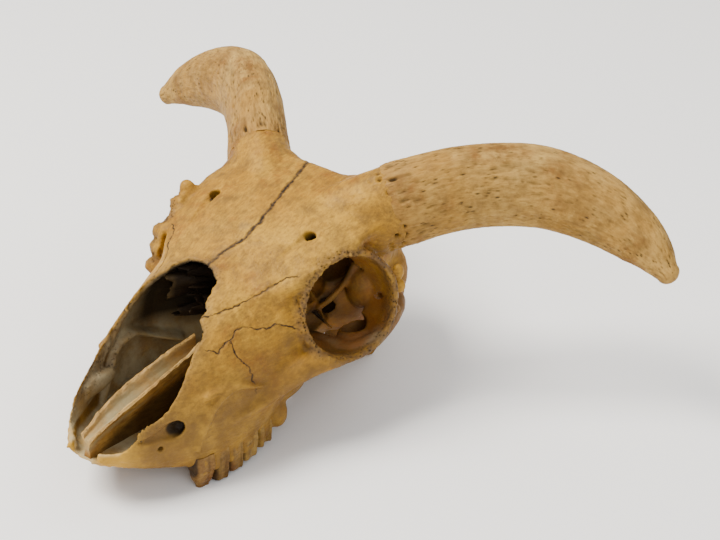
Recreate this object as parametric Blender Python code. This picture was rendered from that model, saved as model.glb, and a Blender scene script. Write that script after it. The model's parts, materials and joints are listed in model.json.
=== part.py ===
"""Skull of a horned goat, as found: the nasal bones, the premaxillae and the lower jaw are gone.

It lies on its cheek teeth and on the processes beside the occipital condyles. +X is the animal's
left, -Y is the way the nose points, +Z is up, and the floor is z = 0. Sizes are in millimetres.
Inside the file a place is written from the front of the tooth row: y = 0 is the front of the
first cheek tooth, and BOX_MIDDLE_X and BOX_MIDDLE_Y move the whole skull so that its box is centred.
"""

import math

import bmesh
import bpy
from mathutils import Matrix, Vector

MM = 0.001
BOX_MIDDLE_X = 1.25
BOX_MIDDLE_Y = 74.46
# The skull rests on the first cheek tooth and the tips of the paracondylar processes.
REST_Y = 8.0
REST_TIP = (16.0, 127.0, 4.9)
REST_SLOPE = REST_TIP[2] / (REST_TIP[1] - REST_Y)
REST_TURN = math.atan(REST_SLOPE)
GAP = 0.3

# Fineness of the surfaces.
MASS_VOXEL = 1.6
MASS_SMOOTHING = 7
MASS_TRIANGLES = 4200
RING_POINTS = 32

# Face: y, greatest half-width and its height, top, bottom, half-width at the teeth.
FACE = (
    (-29.0, 9.0, 21.0, 31.0, 17.6, 7.5),
    (-18.0, 19.5, 21.5, 42.0, 14.2, 17.5),
    (-3.0, 26.5, 21.0, 52.0, 9.2, 25.0),
    (10.0, 31.5, 19.0, 62.0, 7.0, 31.5),
    (25.0, 34.5, 24.0, 71.0, 7.0, 34.0),
    (40.0, 37.0, 33.0, 76.5, 8.5, 34.5),
    (52.0, 39.0, 43.0, 81.0, 12.5, 31.0),
    (62.0, 38.0, 48.0, 84.0, 16.0, 25.0),
    (70.0, 31.0, 52.0, 86.0, 24.0, 17.0),
)
FACE_ARCH = 2.5
FACE_STEP = 7
# Below its widest level the face draws in towards the teeth: how soon, and how square it stays.
FACE_DRAW_IN = 0.6
FACE_SQUARE = 0.32

# Hollow of the nose: inset from the face by the wall, narrower towards the ethmoid.
NOSE_WALL = 3.2
NOSE_HOLLOW_STATIONS = (-40, -29, -18, -3, 10, 24, 34, 44, 54, 64)
NOSE_FLOOR_STEP = 1.0
NOSE_FLOOR_SHARE = 0.96
NOSE_EDGE_TOP = 110.0
NOSE_FLOOR = 18.5
NOSE_TAPER = ((-40.0, 1.0), (24.0, 1.0), (40.0, 0.86), (54.0, 0.55), (64.0, 0.2))
# Broken edge of the nose seen from above: x, y, from the frontals to the front, on each side.
NOSE_EDGE_LEFT = (
    (3.0, 40.5), (8.0, 37.0), (10.0, 29.5), (12.5, 24.5), (14.0, 20.5), (17.5, 18.5),
    (19.5, 12.0), (21.5, 4.0), (22.0, -3.0), (20.5, -9.0), (17.0, -18.0), (8.5, -34.0),
)
NOSE_EDGE_RIGHT = (
    (-2.0, 41.5), (-10.0, 39.5), (-14.0, 37.0), (-18.5, 32.0), (-22.0, 27.0), (-24.5, 19.0),
    (-25.0, 10.0), (-24.0, 2.0), (-22.0, -5.0), (-17.0, -18.0), (-8.5, -34.0),
)
NOSE_EDGE_BOTTOM = 24.0

# Roof of the frontals: y, half-width, height on the midline, fall to the side, thickness.
ROOF_STEP = 6
ROOF_CURVE = 2.6
ROOF = (
    (34.0, 12.0, 73.0, 3.0, 4.0),
    (42.0, 27.0, 76.5, 6.0, 7.0),
    (50.0, 34.0, 80.0, 7.0, 8.0),
    (62.0, 40.0, 85.5, 7.0, 8.0),
    (75.0, 42.5, 90.5, 7.0, 9.0),
    (90.0, 45.0, 95.5, 8.0, 10.0),
    (103.0, 42.0, 97.5, 9.0, 14.0),
    (110.0, 38.0, 98.0, 8.0, 16.0),
    (117.0, 32.0, 93.5, 10.0, 18.0),
    (124.0, 28.0, 84.5, 12.0, 20.0),
)

ORBIT_CENTRE = Vector((46.7, 75.6, 60.9))
# The right orbit stands further out and forward than the left one.
RIGHT_ORBIT_SHIFT = Vector((3.0, -2.0, 0.0))
# Knobs on the front and top of the right orbit's rim: outermost point and radius.
RIGHT_RIM_KNOBS = (
    ((-44.5, 73.0, 86.8), 3.5), ((-45.5, 67.0, 81.0), 3.2), ((-45.5, 56.5, 72.0), 3.8),
    ((-44.5, 53.8, 66.0), 3.2), ((-44.5, 51.5, 57.5), 3.5),
)
KNOB_ROOT_DEPTH = 4.0
KNOB_ROUNDING = 0.6
KNOB_FOOT_GROW = 1.5
ORBIT_FACES = Vector((0.92, -0.334, 0.204)).normalized()
ORBIT_RADIUS = 20.8
ORBIT_RIM = 3.2
# Orbit's hollow: depth behind the rim, radius.
ORBIT_HOLLOW = ((-6.0, 23.0), (0.0, 20.8), (9.0, 21.2), (17.0, 18.5), (24.0, 13.5), (30.0, 6.0))
ORBIT_COLLAR_DEPTH = 18.0
# Bone that closes the orbit's floor behind the arch: its middle and radii.
ORBIT_FLOOR = (40.0, 90.0, 39.5)
ORBIT_FLOOR_RADII = (9.0, 10.0, 4.5)

# Horn core's centre line, half-height and half-width, from inside the frontal to the tip.
HORN = (
    ((22.0, 98.0, 80.0), 18.0, 15.0),
    ((39.5, 114.0, 91.0), 18.0, 13.6),
    ((60.0, 134.0, 98.8), 17.8, 12.8),
    ((84.0, 152.0, 100.6), 17.2, 12.2),
    ((108.0, 161.0, 95.0), 15.0, 11.0),
    ((128.0, 163.5, 86.0), 10.8, 8.5),
    ((141.5, 162.0, 77.5), 5.0, 4.5),
)
# The right core stands a little nearer to the midline and lower.
RIGHT_HORN_SHIFT = Vector((2.5, 0.0, -1.5))
HORN_UP = (0.25, 0.35, 0.9)
HORN_STEPS = 3
# Room cut in the frontal past the seam of the horn core: its length, and how much wider it is.
HORN_SEAM_CLEAR = 14.0
HORN_SEAM_GROW = 1.3
HORN_SIDES = 20

# Cheek teeth from the front: length along the row, half-width, share that is left at the tip, and
# height of the tip above the floor. The skull rests on the first one.
TEETH = (
    (7.0, 3.8, 0.5, 0.0), (7.5, 4.6, 0.85, 0.8), (8.0, 5.2, 0.95, 1.7), (10.5, 6.0, 0.95, 2.5),
    (11.5, 6.2, 0.95, 3.1),
)
# Shape of a crown: how square it is, how deep its lobes are, and the levels of its rings.
TOOTH_SQUARE = 0.6
TOOTH_LOBES = 0.16
TOOTH_LOBES_SMALL = 0.05
TWO_LOBED_LENGTH = 10
TOOTH_NECK = 8.0
TOOTH_NECK_SHARE = 0.97
TOOTH_ROOT_SHARE = 0.9
TOOTH_WEAR = 3.0
TEETH_START = 3.5
TOOTH_ROOT_TOP = 15.0
TOOTH_GAP = 0.25
# Outer side of the tooth row: where it starts, and how much it bows out in the middle.
ROW_START_X = 30.5
ROW_BOW = 3.2
# Depth below the floor to which feet are made before the floor cuts them flat.
FLOOR_CUT = 0.6

# Infraorbital canal from its groove on the face back into the bone: point, half-height, half-width.
INFRAORBITAL = (
    ((21.5, -13.0, 29.2), 2.0, 1.8), ((24.4, -6.5, 30.4), 3.6, 2.7), ((23.6, 1.0, 30.6), 3.0, 2.3),
)
# Bone round the canal inside the nose: point, half-height, half-width.
CANAL_WALL = (
    ((21.9, -7.5, 30.2), 4.6, 2.4), ((22.7, -3.0, 30.4), 5.0, 3.2), ((22.9, 1.0, 30.6), 4.8, 3.4),
)
# Foramen over the orbit, from the frontal's surface down; the right one lies further out and back.
SUPRAORBITAL = (((26.0, 71.0, 92.0), 2.2, 2.6), ((26.5, 75.0, 82.5), 1.8, 2.0))
RIGHT_FORAMEN_SHIFT = Vector((-1.6, 2.5, 0.0))
# Ledge of the lower shell on the side wall of the nose: point, half-height, half-width.
SHELL_LEDGE = (
    ((28.0, 8.0, 41.0), 1.2, 3.0), ((29.5, 24.0, 42.3), 1.4, 4.5), ((28.5, 38.0, 36.5), 1.4, 5.0),
    ((24.5, 48.0, 32.0), 1.4, 5.0),
)

# Vomer: y, foot, top, half-width at the top.
VOMER = (
    (-27.0, 18.8, 28.5, 3.2),
    (-13.0, 18.8, 35.0, 4.8),
    (2.0, 18.8, 39.0, 5.6),
    (19.0, 19.3, 43.0, 5.2),
    (36.0, 21.0, 46.5, 3.4),
)
VOMER_WALL = 1.5
# Depth of its trough where it stands VOMER_TALL high.
VOMER_TROUGH = 9.0
VOMER_TALL = 24
VOMER_KEEL = 0.4
VOMER_STEM = ((1.6, 0.0), (1.4, 5.0))

# Sutures on the left side: a point of each cut and its normal.
FACE_CUT_POINT = Vector((19.5, 28.0, 67.0))
FACE_CUT_NORMAL = Vector((-26.4, 16.2, 21.6)).normalized()
# Block that the left zygomatic bone is cut out with: inner side, and its outline as y, z.
CHEEK_INNER_X = 32.0
CHEEK_OUTLINE = ((25.5, 57.0), (34.5, 26.0), (130.0, 26.0), (130.0, 57.0))
# Cut between the braincase and the occiput: y at the top and at the foot, and their heights.
OCCIPUT_CUT = ((140.0, 105.0), (121.0, -5.0))

# Bones by the middle of their boxes, and the colour and roughness of each finish.
BONES = {
    "cranium_left": (24, 92, 62),
    "cranium_right": (-24, 92, 62),
    "occiput": (0, 142, 45),
    "maxilla_left": (20, 20, 38),
    "maxilla_right": (-20, 20, 38),
}
FINISHES = {
    "bone_tan": ((0.52, 0.33, 0.13, 1.0), 0.55),
    "bone_brown": ((0.40, 0.25, 0.10, 1.0), 0.6),
    "bone_grey": ((0.38, 0.31, 0.21, 1.0), 0.65),
    "horn_core_bone": ((0.47, 0.33, 0.17, 1.0), 0.7),
}


def place(x, y, z):
    """A point of the skull in the part's own frame, in metres, with the floor turned level."""
    c, s = math.cos(REST_TURN), math.sin(REST_TURN)
    along = y - REST_Y
    return Vector((
        x - BOX_MIDDLE_X, along * c + z * s + REST_Y - BOX_MIDDLE_Y, z * c - along * s,
    )) * MM


def floor_height(y):
    """Height of the floor at y, in the frame of the tooth row."""
    return REST_SLOPE * (y - REST_Y)


def between(keys, y):
    """The named sizes at y, joined smoothly from station to station."""
    if y <= keys[0][0]:
        return keys[0][1:]
    for low, high in zip(keys, keys[1:]):
        if y <= high[0]:
            t = (y - low[0]) / (high[0] - low[0])
            return [a + (b - a) * t for a, b in zip(low[1:], high[1:])]
    return keys[-1][1:]


def new_object(name, bm):
    mesh = bpy.data.meshes.new(name)
    bm.normal_update()
    bm.to_mesh(mesh)
    bm.free()
    obj = bpy.data.objects.new(name, mesh)
    bpy.context.scene.collection.objects.link(obj)
    return obj


def loft(name, rings):
    """A closed skin through rings of points, each with the same number of points."""
    bm = bmesh.new()
    verts = [bm.verts.new(place(*p)) for p in rings[0]]
    edges = [bm.edges.new((a, b)) for a, b in zip(verts, verts[1:] + verts[:1])]
    for ring in rings[1:]:
        made = bmesh.ops.extrude_edge_only(bm, edges=edges)["geom"]
        new_verts = [v for v in made if isinstance(v, bmesh.types.BMVert)]
        partner = {}
        for v in new_verts:
            for e in v.link_edges:
                other = e.other_vert(v)
                if other in verts:
                    partner[other] = v
        verts = [partner[v] for v in verts]
        for v, p in zip(verts, ring):
            v.co = place(*p)
        edges = [bm.edges.get((a, b)) for a, b in zip(verts, verts[1:] + verts[:1])]
    bmesh.ops.holes_fill(bm, edges=[e for e in bm.edges if e.is_boundary])
    bmesh.ops.triangulate(bm, faces=[f for f in bm.faces if len(f.verts) > 4])
    bmesh.ops.recalc_face_normals(bm, faces=bm.faces)
    return new_object(name, bm)


def ellipsoid(name, centre, radii, turn=None, divisions=3):
    bm = bmesh.new()
    bmesh.ops.create_icosphere(bm, subdivisions=divisions, radius=1.0)
    shape = Matrix.Diagonal(Vector(radii) * MM).to_4x4()
    if turn is not None:
        shape = turn.to_4x4() @ shape
    bmesh.ops.transform(bm, matrix=Matrix.Translation(place(*centre)) @ shape, verts=bm.verts)
    return new_object(name, bm)


def frame_along(points, i, up):
    """Two directions across a line of points at point i: across it and level, and across it."""
    a = Vector(points[max(i - 1, 0)])
    b = Vector(points[min(i + 1, len(points) - 1)])
    along = (b - a).normalized()
    side = along.cross(Vector(up)).normalized()
    return side, side.cross(along).normalized()


def smooth_line(stations, steps):
    """Points and sizes on a Catmull-Rom curve through the stations."""
    rows = [tuple(p) + tuple(s) for p, *s in stations]
    out = []
    for i in range(len(rows) - 1):
        p0 = rows[max(i - 1, 0)]
        p1, p2 = rows[i], rows[i + 1]
        p3 = rows[min(i + 2, len(rows) - 1)]
        for k in range(steps):
            t = k / steps
            out.append([
                0.5 * (2 * b + (c - a) * t + (2 * a - 5 * b + 4 * c - d) * t * t
                       + (3 * b - a - 3 * c + d) * t ** 3)
                for a, b, c, d in zip(p0, p1, p2, p3)
            ])
    out.append(list(rows[-1]))
    return out


def rod(name, stations, sides=20, up=(0, 0, 1), steps=3, round_end=True):
    """A bent, tapered rod: each station is a point, its half-height and its half-width."""
    line = smooth_line(stations, steps)
    points = [row[:3] for row in line]
    rings = []
    for i, (x, y, z, tall, wide) in enumerate(line):
        side, over = frame_along(points, i, up)
        rings.append([
            tuple(Vector((x, y, z)) + side * wide * math.cos(a) + over * tall * math.sin(a))
            for a in (2 * math.pi * k / sides for k in range(sides))
        ])
    if round_end:
        tip = Vector(points[-1])
        along = (tip - Vector(points[-2])).normalized()
        reach = min(line[-1][3:])
        for share, height in ((0.75, 0.6), (0.35, 0.92)):
            rings.append([
                tuple(tip + along * reach * height + (Vector(p) - tip) * share)
                for p in rings[-1 if share > 0.5 else -2]
            ])
    return loft(name, rings)


def baked(obj):
    """The object with its modifiers applied."""
    graph = bpy.context.evaluated_depsgraph_get()
    mesh = bpy.data.meshes.new_from_object(obj.evaluated_get(graph))
    old = obj.data
    obj.modifiers.clear()
    obj.data = mesh
    bpy.data.meshes.remove(old)
    return obj


def combine(obj, others, operation):
    """Joins the other objects to obj, or cuts them from it, and removes them.

    The exact solver leaves edges with three faces where the thin sheets cross the curved bone, so
    the manifold solver is used, on bodies that are all closed.
    """
    group = bpy.data.collections.new("group")
    for other in others:
        for owner in list(other.users_collection):
            owner.objects.unlink(other)
        group.objects.link(other)
    bpy.context.scene.collection.children.link(group)
    modifier = obj.modifiers.new("Combine", "BOOLEAN")
    modifier.operation = operation
    modifier.operand_type = "COLLECTION"
    modifier.collection = group
    modifier.solver = "MANIFOLD"
    bpy.context.view_layer.update()
    baked(obj)
    for other in list(group.objects):
        bpy.data.objects.remove(other)
    bpy.data.collections.remove(group)
    return obj


def copied(obj, name):
    """A copy of the object, in place."""
    copy = obj.copy()
    copy.data = obj.data.copy()
    copy.name = name
    bpy.context.scene.collection.objects.link(copy)
    return copy


def mirrored(obj, name):
    """A copy of the object on the other side of the skull."""
    copy = copied(obj, name)
    bm = bmesh.new()
    bm.from_mesh(copy.data)
    across = 2 * place(0, 0, 0).x
    for vert in bm.verts:
        vert.co.x = across - vert.co.x
    bmesh.ops.reverse_faces(bm, faces=bm.faces)
    bm.to_mesh(copy.data)
    bm.free()
    return copy


def both_sides(obj):
    return [obj, mirrored(obj, obj.name + "_other")]


def face_ring(y, count=RING_POINTS):
    """The outline of the face at y: an arch above its widest level, squarer below."""
    half, level, top, bottom, foot = between(FACE, y)
    points = []
    for k in range(count):
        a = 2 * math.pi * k / count
        c, s = math.cos(a), math.sin(a)
        if s >= 0:
            x = half * math.copysign(abs(c) ** (2 / FACE_ARCH), c)
            z = level + (top - level) * s ** (2 / FACE_ARCH)
        else:
            down = abs(s) ** FACE_DRAW_IN
            x = (half + (foot - half) * down) * math.copysign(abs(c) ** FACE_SQUARE, c)
            z = level - (level - bottom) * down
        points.append((x, y, z))
    return points


def face_mass():
    return loft("face_mass", [face_ring(y) for y in range(-29, 71, FACE_STEP)])


def hollow_ring(y, count=12):
    """The outline of the nose's hollow at y: the arch of the face less its wall, on a flat floor."""
    half, level, top, _, _ = between(FACE, y)
    (share,) = between(NOSE_TAPER, y)
    wide = (half - NOSE_WALL) * share
    high = top - NOSE_WALL
    points = []
    for k in range(count + 1):
        a = math.pi * k / count
        c, s = math.cos(a), math.sin(a)
        points.append((
            wide * math.copysign(abs(c) ** (2 / FACE_ARCH), c), y,
            max(level + (high - level) * s ** (2 / FACE_ARCH), NOSE_FLOOR + NOSE_FLOOR_STEP),
        ))
    points.append((-wide * NOSE_FLOOR_SHARE, y, NOSE_FLOOR))
    points.append((wide * NOSE_FLOOR_SHARE, y, NOSE_FLOOR))
    return points


def nose_cutters():
    """The hollow of the nose, and the prism that opens its roof where the nasal bones were."""
    hollow = loft("nose_hollow", [hollow_ring(y) for y in NOSE_HOLLOW_STATIONS])
    outline = list(NOSE_EDGE_LEFT) + list(reversed(NOSE_EDGE_RIGHT))
    opening = loft("nose_opening", [
        [(x, y, z) for x, y in outline] for z in (NOSE_EDGE_BOTTOM, NOSE_EDGE_TOP)
    ])
    return [hollow, opening]


def palate_cutter():
    """The vault of the palate between the tooth rows, and the throat behind it."""
    return rod("palate_vault", (
        ((0, -45, 3), 6, 5), ((0, -20, 4), 8, 9), ((0, 5, 4), 10.5, 21.5), ((0, 30, 4), 12, 22.3),
        ((0, 56, 5), 13, 21), ((0, 82, 7), 16, 18),
    ), sides=24)


def roof_ring(y, count=12):
    half, height, fall, thick = between(ROOF, y)
    share = [-1 + 2 * k / count for k in range(count + 1)]
    upper = [(half * u, y, height - fall * abs(u) ** ROOF_CURVE) for u in share]
    lower = [
        (half * u * 0.94, y, height - fall * abs(u) ** ROOF_CURVE - thick * (1 - 0.5 * u * u))
        for u in reversed(share)
    ]
    return upper + lower


def roof_mass():
    return loft("roof_mass", [roof_ring(y) for y in range(38, 125, ROOF_STEP)])


def turned(name, centre, axis, profile, sides=32):
    """A turned solid about the axis through centre: the profile is depth behind centre, radius."""
    axis = Vector(axis).normalized()
    side = axis.cross(Vector((0, 0, 1))).normalized()
    over = side.cross(axis)
    rings = []
    for depth, radius in profile:
        middle = Vector(centre) - axis * depth
        rings.append([
            tuple(middle + side * radius * math.cos(a) + over * radius * math.sin(a))
            for a in (2 * math.pi * k / sides for k in range(sides))
        ])
    return loft(name, rings)


def cranium_masses():
    """The swellings that the braincase and the back of the skull are blended from."""
    masses = [
        ellipsoid("braincase", (0, 117, 62.5), (31, 34, 25.5)),
        ellipsoid("interorbital", (0, 82, 60), (17, 36, 27)),
        ellipsoid("nuchal", (0, 138, 62), (25, 13, 20)),
        ellipsoid("occipital", (0, 140, 42), (21, 12, 21)),
        rod("skull_base", (
            ((0, 62, 34), 7, 8), ((0, 90, 33), 5, 8), ((0, 118, 32), 5, 10), ((0, 150, 27), 5, 12),
        )),
    ]
    masses += both_sides(ellipsoid("horn_root", (27, 104, 83), (20, 16, 14)))
    masses += both_sides(ellipsoid("horn_saddle", (23, 110, 88), (15, 9, 12)))
    masses += both_sides(ellipsoid("mastoid", (23, 131, 46), (9, 11, 14)))
    masses += both_sides(ellipsoid("tuber", (25, 58, 32), (10, 17, 16)))
    masses += both_sides(ellipsoid("palatine", (13, 80, 39), (9, 25, 17)))
    masses += both_sides(ellipsoid("temporal", (18, 108, 44), (15, 21, 15)))
    return masses


def fine_parts():
    """What is joined after the masses are blended: arches, condyles, bullae and processes."""
    parts = both_sides(rod("arch", (
        ((31, 36, 31), 6.5, 6), ((40.5, 54, 40), 5.8, 6), ((48, 70, 41.5), 4.2, 4.5),
        ((50.5, 86, 42), 4, 3), ((49, 101, 45), 3.8, 2.6), ((43, 112, 47.5), 4, 4),
        ((28, 119, 49), 5, 7),
    ), round_end=False))
    parts += both_sides(ellipsoid("row_end", (29.5, 50.5, 15), (5, 5, 7), divisions=2))
    parts += both_sides(ellipsoid("condyle", (11.5, 148, 29), (8, 9, 11), divisions=2))
    parts += both_sides(ellipsoid("bulla", (16, 111, 28), (8, 11, 11), divisions=2))
    tip_x, tip_y, tip_z = REST_TIP
    parts += both_sides(rod("paracondylar", (
        ((19, 137, 44), 6, 8), ((19, 134, 24), 4, 6), ((17.5, 130, 12), 3.2, 4.5),
        ((tip_x, tip_y, tip_z - FLOOR_CUT * 3), 2.6, 3.6),
    ), up=(0, 1, 0), round_end=False))
    parts += both_sides(rod("pterygoid", (
        ((10, 60, 26), 9, 2.2), ((11.5, 78, 26), 10, 2.2), ((12, 97, 27), 8, 2.2),
    ), sides=12, round_end=False))
    return parts


def collars():
    """The raised rims of both orbits, and the hollows cut into them."""
    rim = (
        (-0.6, ORBIT_RADIUS + 1.6), (1.2, ORBIT_RADIUS + ORBIT_RIM),
        (7.0, ORBIT_RADIUS + ORBIT_RIM), (ORBIT_COLLAR_DEPTH, ORBIT_RADIUS + 1.0),
    )
    made = []
    for name, profile in (("collar", rim), ("hollow", ORBIT_HOLLOW)):
        left = turned(name, ORBIT_CENTRE, ORBIT_FACES, profile)
        right = turned(name, ORBIT_CENTRE + RIGHT_ORBIT_SHIFT, ORBIT_FACES, profile)
        flipped = mirrored(right, name + "_other")
        bpy.data.objects.remove(right)
        made.append([left, flipped])
    return made[0] + rim_knobs(), made[1]


def rim_knobs():
    """The knobs of the right orbit, each rooted in the rim nearest to it."""
    centre = ORBIT_CENTRE + RIGHT_ORBIT_SHIFT
    centre = Vector((-centre.x, centre.y, centre.z))
    faces = Vector((-ORBIT_FACES.x, ORBIT_FACES.y, ORBIT_FACES.z))
    knobs = []
    for end, radius in RIGHT_RIM_KNOBS:
        out = Vector(end) - centre
        out -= faces * out.dot(faces)
        root = centre + out.normalized() * (ORBIT_RADIUS + ORBIT_RIM / 2) - faces * KNOB_ROOT_DEPTH
        top = Vector(end) - faces * radius * KNOB_ROUNDING
        foot = radius * KNOB_FOOT_GROW
        knobs.append(rod("rim_knob", ((root, foot, foot), (top, radius, radius)),
                         sides=10, up=out, steps=1))
    return knobs


def tooth_ring(y, length, half, z, spread, count=16):
    """Outline of a cheek tooth: two lobes where it is long."""
    lobes = TOOTH_LOBES if length > TWO_LOBED_LENGTH else TOOTH_LOBES_SMALL
    points = []
    for k in range(count):
        a = 2 * math.pi * (k + 0.5) / count
        c, s = math.cos(a), math.sin(a)
        along = 0.5 * length * math.copysign(abs(s) ** TOOTH_SQUARE, s)
        waist = 1 - lobes * (1 + math.cos(4 * math.pi * along / length)) * 0.9
        across = half * math.copysign(abs(c) ** TOOTH_SQUARE, c) * waist
        points.append((row_x(y + along) - half + across * spread, y + along, z + floor_height(y + along)))
    return points


def row_x(y):
    """Outer side of the tooth row at y."""
    along = (y - TEETH_START) / sum(tooth[0] for tooth in TEETH)
    return ROW_START_X + ROW_BOW * math.sin(math.pi * min(max(along, 0), 1) * 0.9)


def teeth():
    """Both rows of cheek teeth, rooted in the maxilla."""
    made = []
    y = TEETH_START
    for i, (length, half, tip, lift) in enumerate(TEETH):
        middle = y + length / 2
        span = length - TOOTH_GAP
        end = lift if lift else -FLOOR_CUT
        levels = (
            (TOOTH_ROOT_TOP, TOOTH_ROOT_SHARE), (TOOTH_NECK, TOOTH_NECK_SHARE),
            (lift + TOOTH_WEAR, (1 + tip) / 2), (end, tip),
        )
        rings = [tooth_ring(middle, span * scale, half, z, scale) for z, scale in levels]
        made += both_sides(loft(f"tooth_{i}", rings))
        y += length
    return made


def horn_parts():
    """The two horn cores, the stumps of the frontal that they stand on, and the cuts between."""
    line = smooth_line(HORN, HORN_STEPS)
    seam = HORN_STEPS
    points = [row[:3] for row in line]
    along = (Vector(points[seam + 1]) - Vector(points[seam - 1])).normalized()

    def ring(i, shift=0.0, grow=1.0):
        side, over = frame_along(points, i, HORN_UP)
        middle = Vector(points[i]) + along * shift
        tall, wide = (size * grow for size in line[i][3:])
        return [
            tuple(middle + side * wide * math.cos(a) + over * tall * math.sin(a))
            for a in (2 * math.pi * k / HORN_SIDES for k in range(HORN_SIDES))
        ]

    stump = loft("stump", [ring(i) for i in range(seam)] + [ring(seam, HORN_SEAM_CLEAR / 4)])
    room = loft("horn_room", [
        ring(seam, -GAP / 2, HORN_SEAM_GROW), ring(seam, HORN_SEAM_CLEAR, HORN_SEAM_GROW),
    ])
    rings = [ring(seam, GAP / 2)] + [ring(i) for i in range(seam + 1, len(line))]
    tip = Vector(points[-1])
    end = (tip - Vector(points[-2])).normalized()
    last = [Vector(p) - tip for p in rings[-1]]
    reach = line[-1][4]
    for share, height in ((0.8, 0.5), (0.45, 0.85)):
        rings.append([tuple(tip + end * reach * height + p * share) for p in last])
    core = loft("horn_core_left", rings)
    cores = [core, mirrored(core, "horn_core_right")]
    stumps = both_sides(stump)
    rooms = both_sides(room)
    shift = place(*RIGHT_HORN_SHIFT) - place(0, 0, 0)
    for pair in (cores, stumps, rooms):
        pair[1].data.transform(Matrix.Translation(shift))
    return stumps, cores, rooms


def vomer():
    """The trough of the vomer, which stands on the palate."""
    rings = []
    for y, foot, top, half in VOMER:
        keel = top - VOMER_TROUGH * (top - foot) / VOMER_TALL
        right = [(wide, y, foot + up) for wide, up in VOMER_STEM]
        right += [(half, y, top), (half - VOMER_WALL, y, top), (VOMER_KEEL, y, keel)]
        rings.append(right + mirrored_points(reversed(right)))
    return loft("vomer", rings)


def plate(name, corners, normal):
    """A sheet GAP thick through the corners, to part one bone from the next."""
    half = Vector(normal).normalized() * GAP / 2
    return loft(name, [
        [tuple(Vector(c) - half) for c in corners], [tuple(Vector(c) + half) for c in corners],
    ])


def face_cut_height(x, y):
    """Height of the cut between the face and the cranium over a point of the floor."""
    p, n = FACE_CUT_POINT, FACE_CUT_NORMAL
    return p.z - (n.x * (x - p.x) + n.y * (y - p.y)) / n.z


def mirrored_points(points):
    return [(-x, y, z) for x, y, z in points]


def bone_cuts():
    """The sheets that part the bones."""
    n = FACE_CUT_NORMAL
    face = [(x, y, face_cut_height(x, y)) for x, y in ((0, -20), (90, -20), (90, 150), (0, 150))]
    (top_y, top_z), (foot_y, foot_z) = OCCIPUT_CUT
    nape = [(-60, foot_y, foot_z), (60, foot_y, foot_z), (60, top_y, top_z), (-60, top_y, top_z)]
    # The middle sheet ends inside the one at the nape, so the occiput stays whole.
    middle = [(0, -45, foot_z), (0, foot_y, foot_z), (0, top_y, top_z), (0, -45, top_z)]
    return [
        plate("frontal_suture_left", face, n),
        plate("frontal_suture_right", mirrored_points(face), (-n.x, n.y, n.z)),
        plate("middle_suture", middle, (1, 0, 0)),
        plate("lambdoid_suture", nape, (0, top_z - foot_z, foot_y - top_y)),
        floor_block(),
    ]


def floor_block():
    """What lies below the floor, which cuts the feet of the skull flat."""
    return loft("floor_block", [
        [(x, y, floor_height(y) - depth) for x, y in ((-90, -60), (90, -60), (90, 190), (-90, 190))]
        for depth in (20.0, 0.0)
    ])


def cheek_block(side, grow):
    """The block that a zygomatic bone is cut out with, grown on the sides where it meets bone."""
    (y0, z0), (y1, z1), (y2, z2), (y3, z3) = CHEEK_OUTLINE
    outline = ((y0 - grow, z0 + grow), (y1 - grow, z1 - grow), (y2, z2 - grow), (y3, z3 + grow))
    name = "cheek_left" if side > 0 else "cheek_right"
    return loft(name, [
        [(side * x, y, z) for y, z in outline] for x in (CHEEK_INNER_X - grow, 90.0)
    ])


def part_cheeks(bones):
    """Cuts the zygomatic bones out of the maxillae, with the gap between them."""
    for side, name in ((1, "left"), (-1, "right")):
        maxilla = bones["maxilla_" + name]
        cheek = copied(maxilla, "zygomatic_" + name)
        combine(cheek, [cheek_block(side, 0.0)], "INTERSECT")
        combine(maxilla, [cheek_block(side, GAP)], "DIFFERENCE")
        for label, obj in (("maxilla_" + name, maxilla), ("zygomatic_" + name, cheek)):
            bones[label] = largest(loose_pieces(obj))
            bones[label].name = label


def loose_pieces(obj):
    """The object's separate bodies, as objects."""
    bpy.ops.object.select_all(action="DESELECT")
    obj.select_set(True)
    bpy.context.view_layer.objects.active = obj
    bpy.ops.mesh.separate(type="LOOSE")
    return list(bpy.context.selected_objects)


def blended_masses():
    masses = [face_mass(), roof_mass()] + cranium_masses()
    skull = combine(masses[0], masses[1:], "UNION")
    remesh = skull.modifiers.new("Blend", "REMESH")
    remesh.mode = "VOXEL"
    remesh.voxel_size = MASS_VOXEL * MM
    smooth = skull.modifiers.new("Smooth", "SMOOTH")
    smooth.factor = 0.5
    smooth.iterations = MASS_SMOOTHING
    baked(skull)
    reduce = skull.modifiers.new("Reduce", "DECIMATE")
    reduce.ratio = MASS_TRIANGLES / (2 * len(skull.data.polygons))
    return baked(skull)


def box_middle(obj):
    corners = [obj.matrix_world @ Vector(c) for c in obj.bound_box]
    return sum(corners, Vector()) / len(corners)


def volume(obj):
    bm = bmesh.new()
    bm.from_mesh(obj.data)
    size = bm.calc_volume()
    bm.free()
    return size


def largest(pieces):
    """The largest of the pieces, with the others removed."""
    pieces = sorted(pieces, key=volume, reverse=True)
    for scrap in pieces[1:]:
        bpy.data.objects.remove(scrap)
    return pieces[0]


def name_bones(pieces):
    """Gives each bone its largest piece, and removes the scraps that the cuts leave."""
    found = {}
    for piece in sorted(pieces, key=volume, reverse=True):
        middle = box_middle(piece)
        name = min(BONES, key=lambda bone: (place(*BONES[bone]) - middle).length)
        if name in found:
            bpy.data.objects.remove(piece)
        else:
            found[name] = piece
    for name, piece in found.items():
        piece.name = name
        piece.data.name = name
    return found


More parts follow.
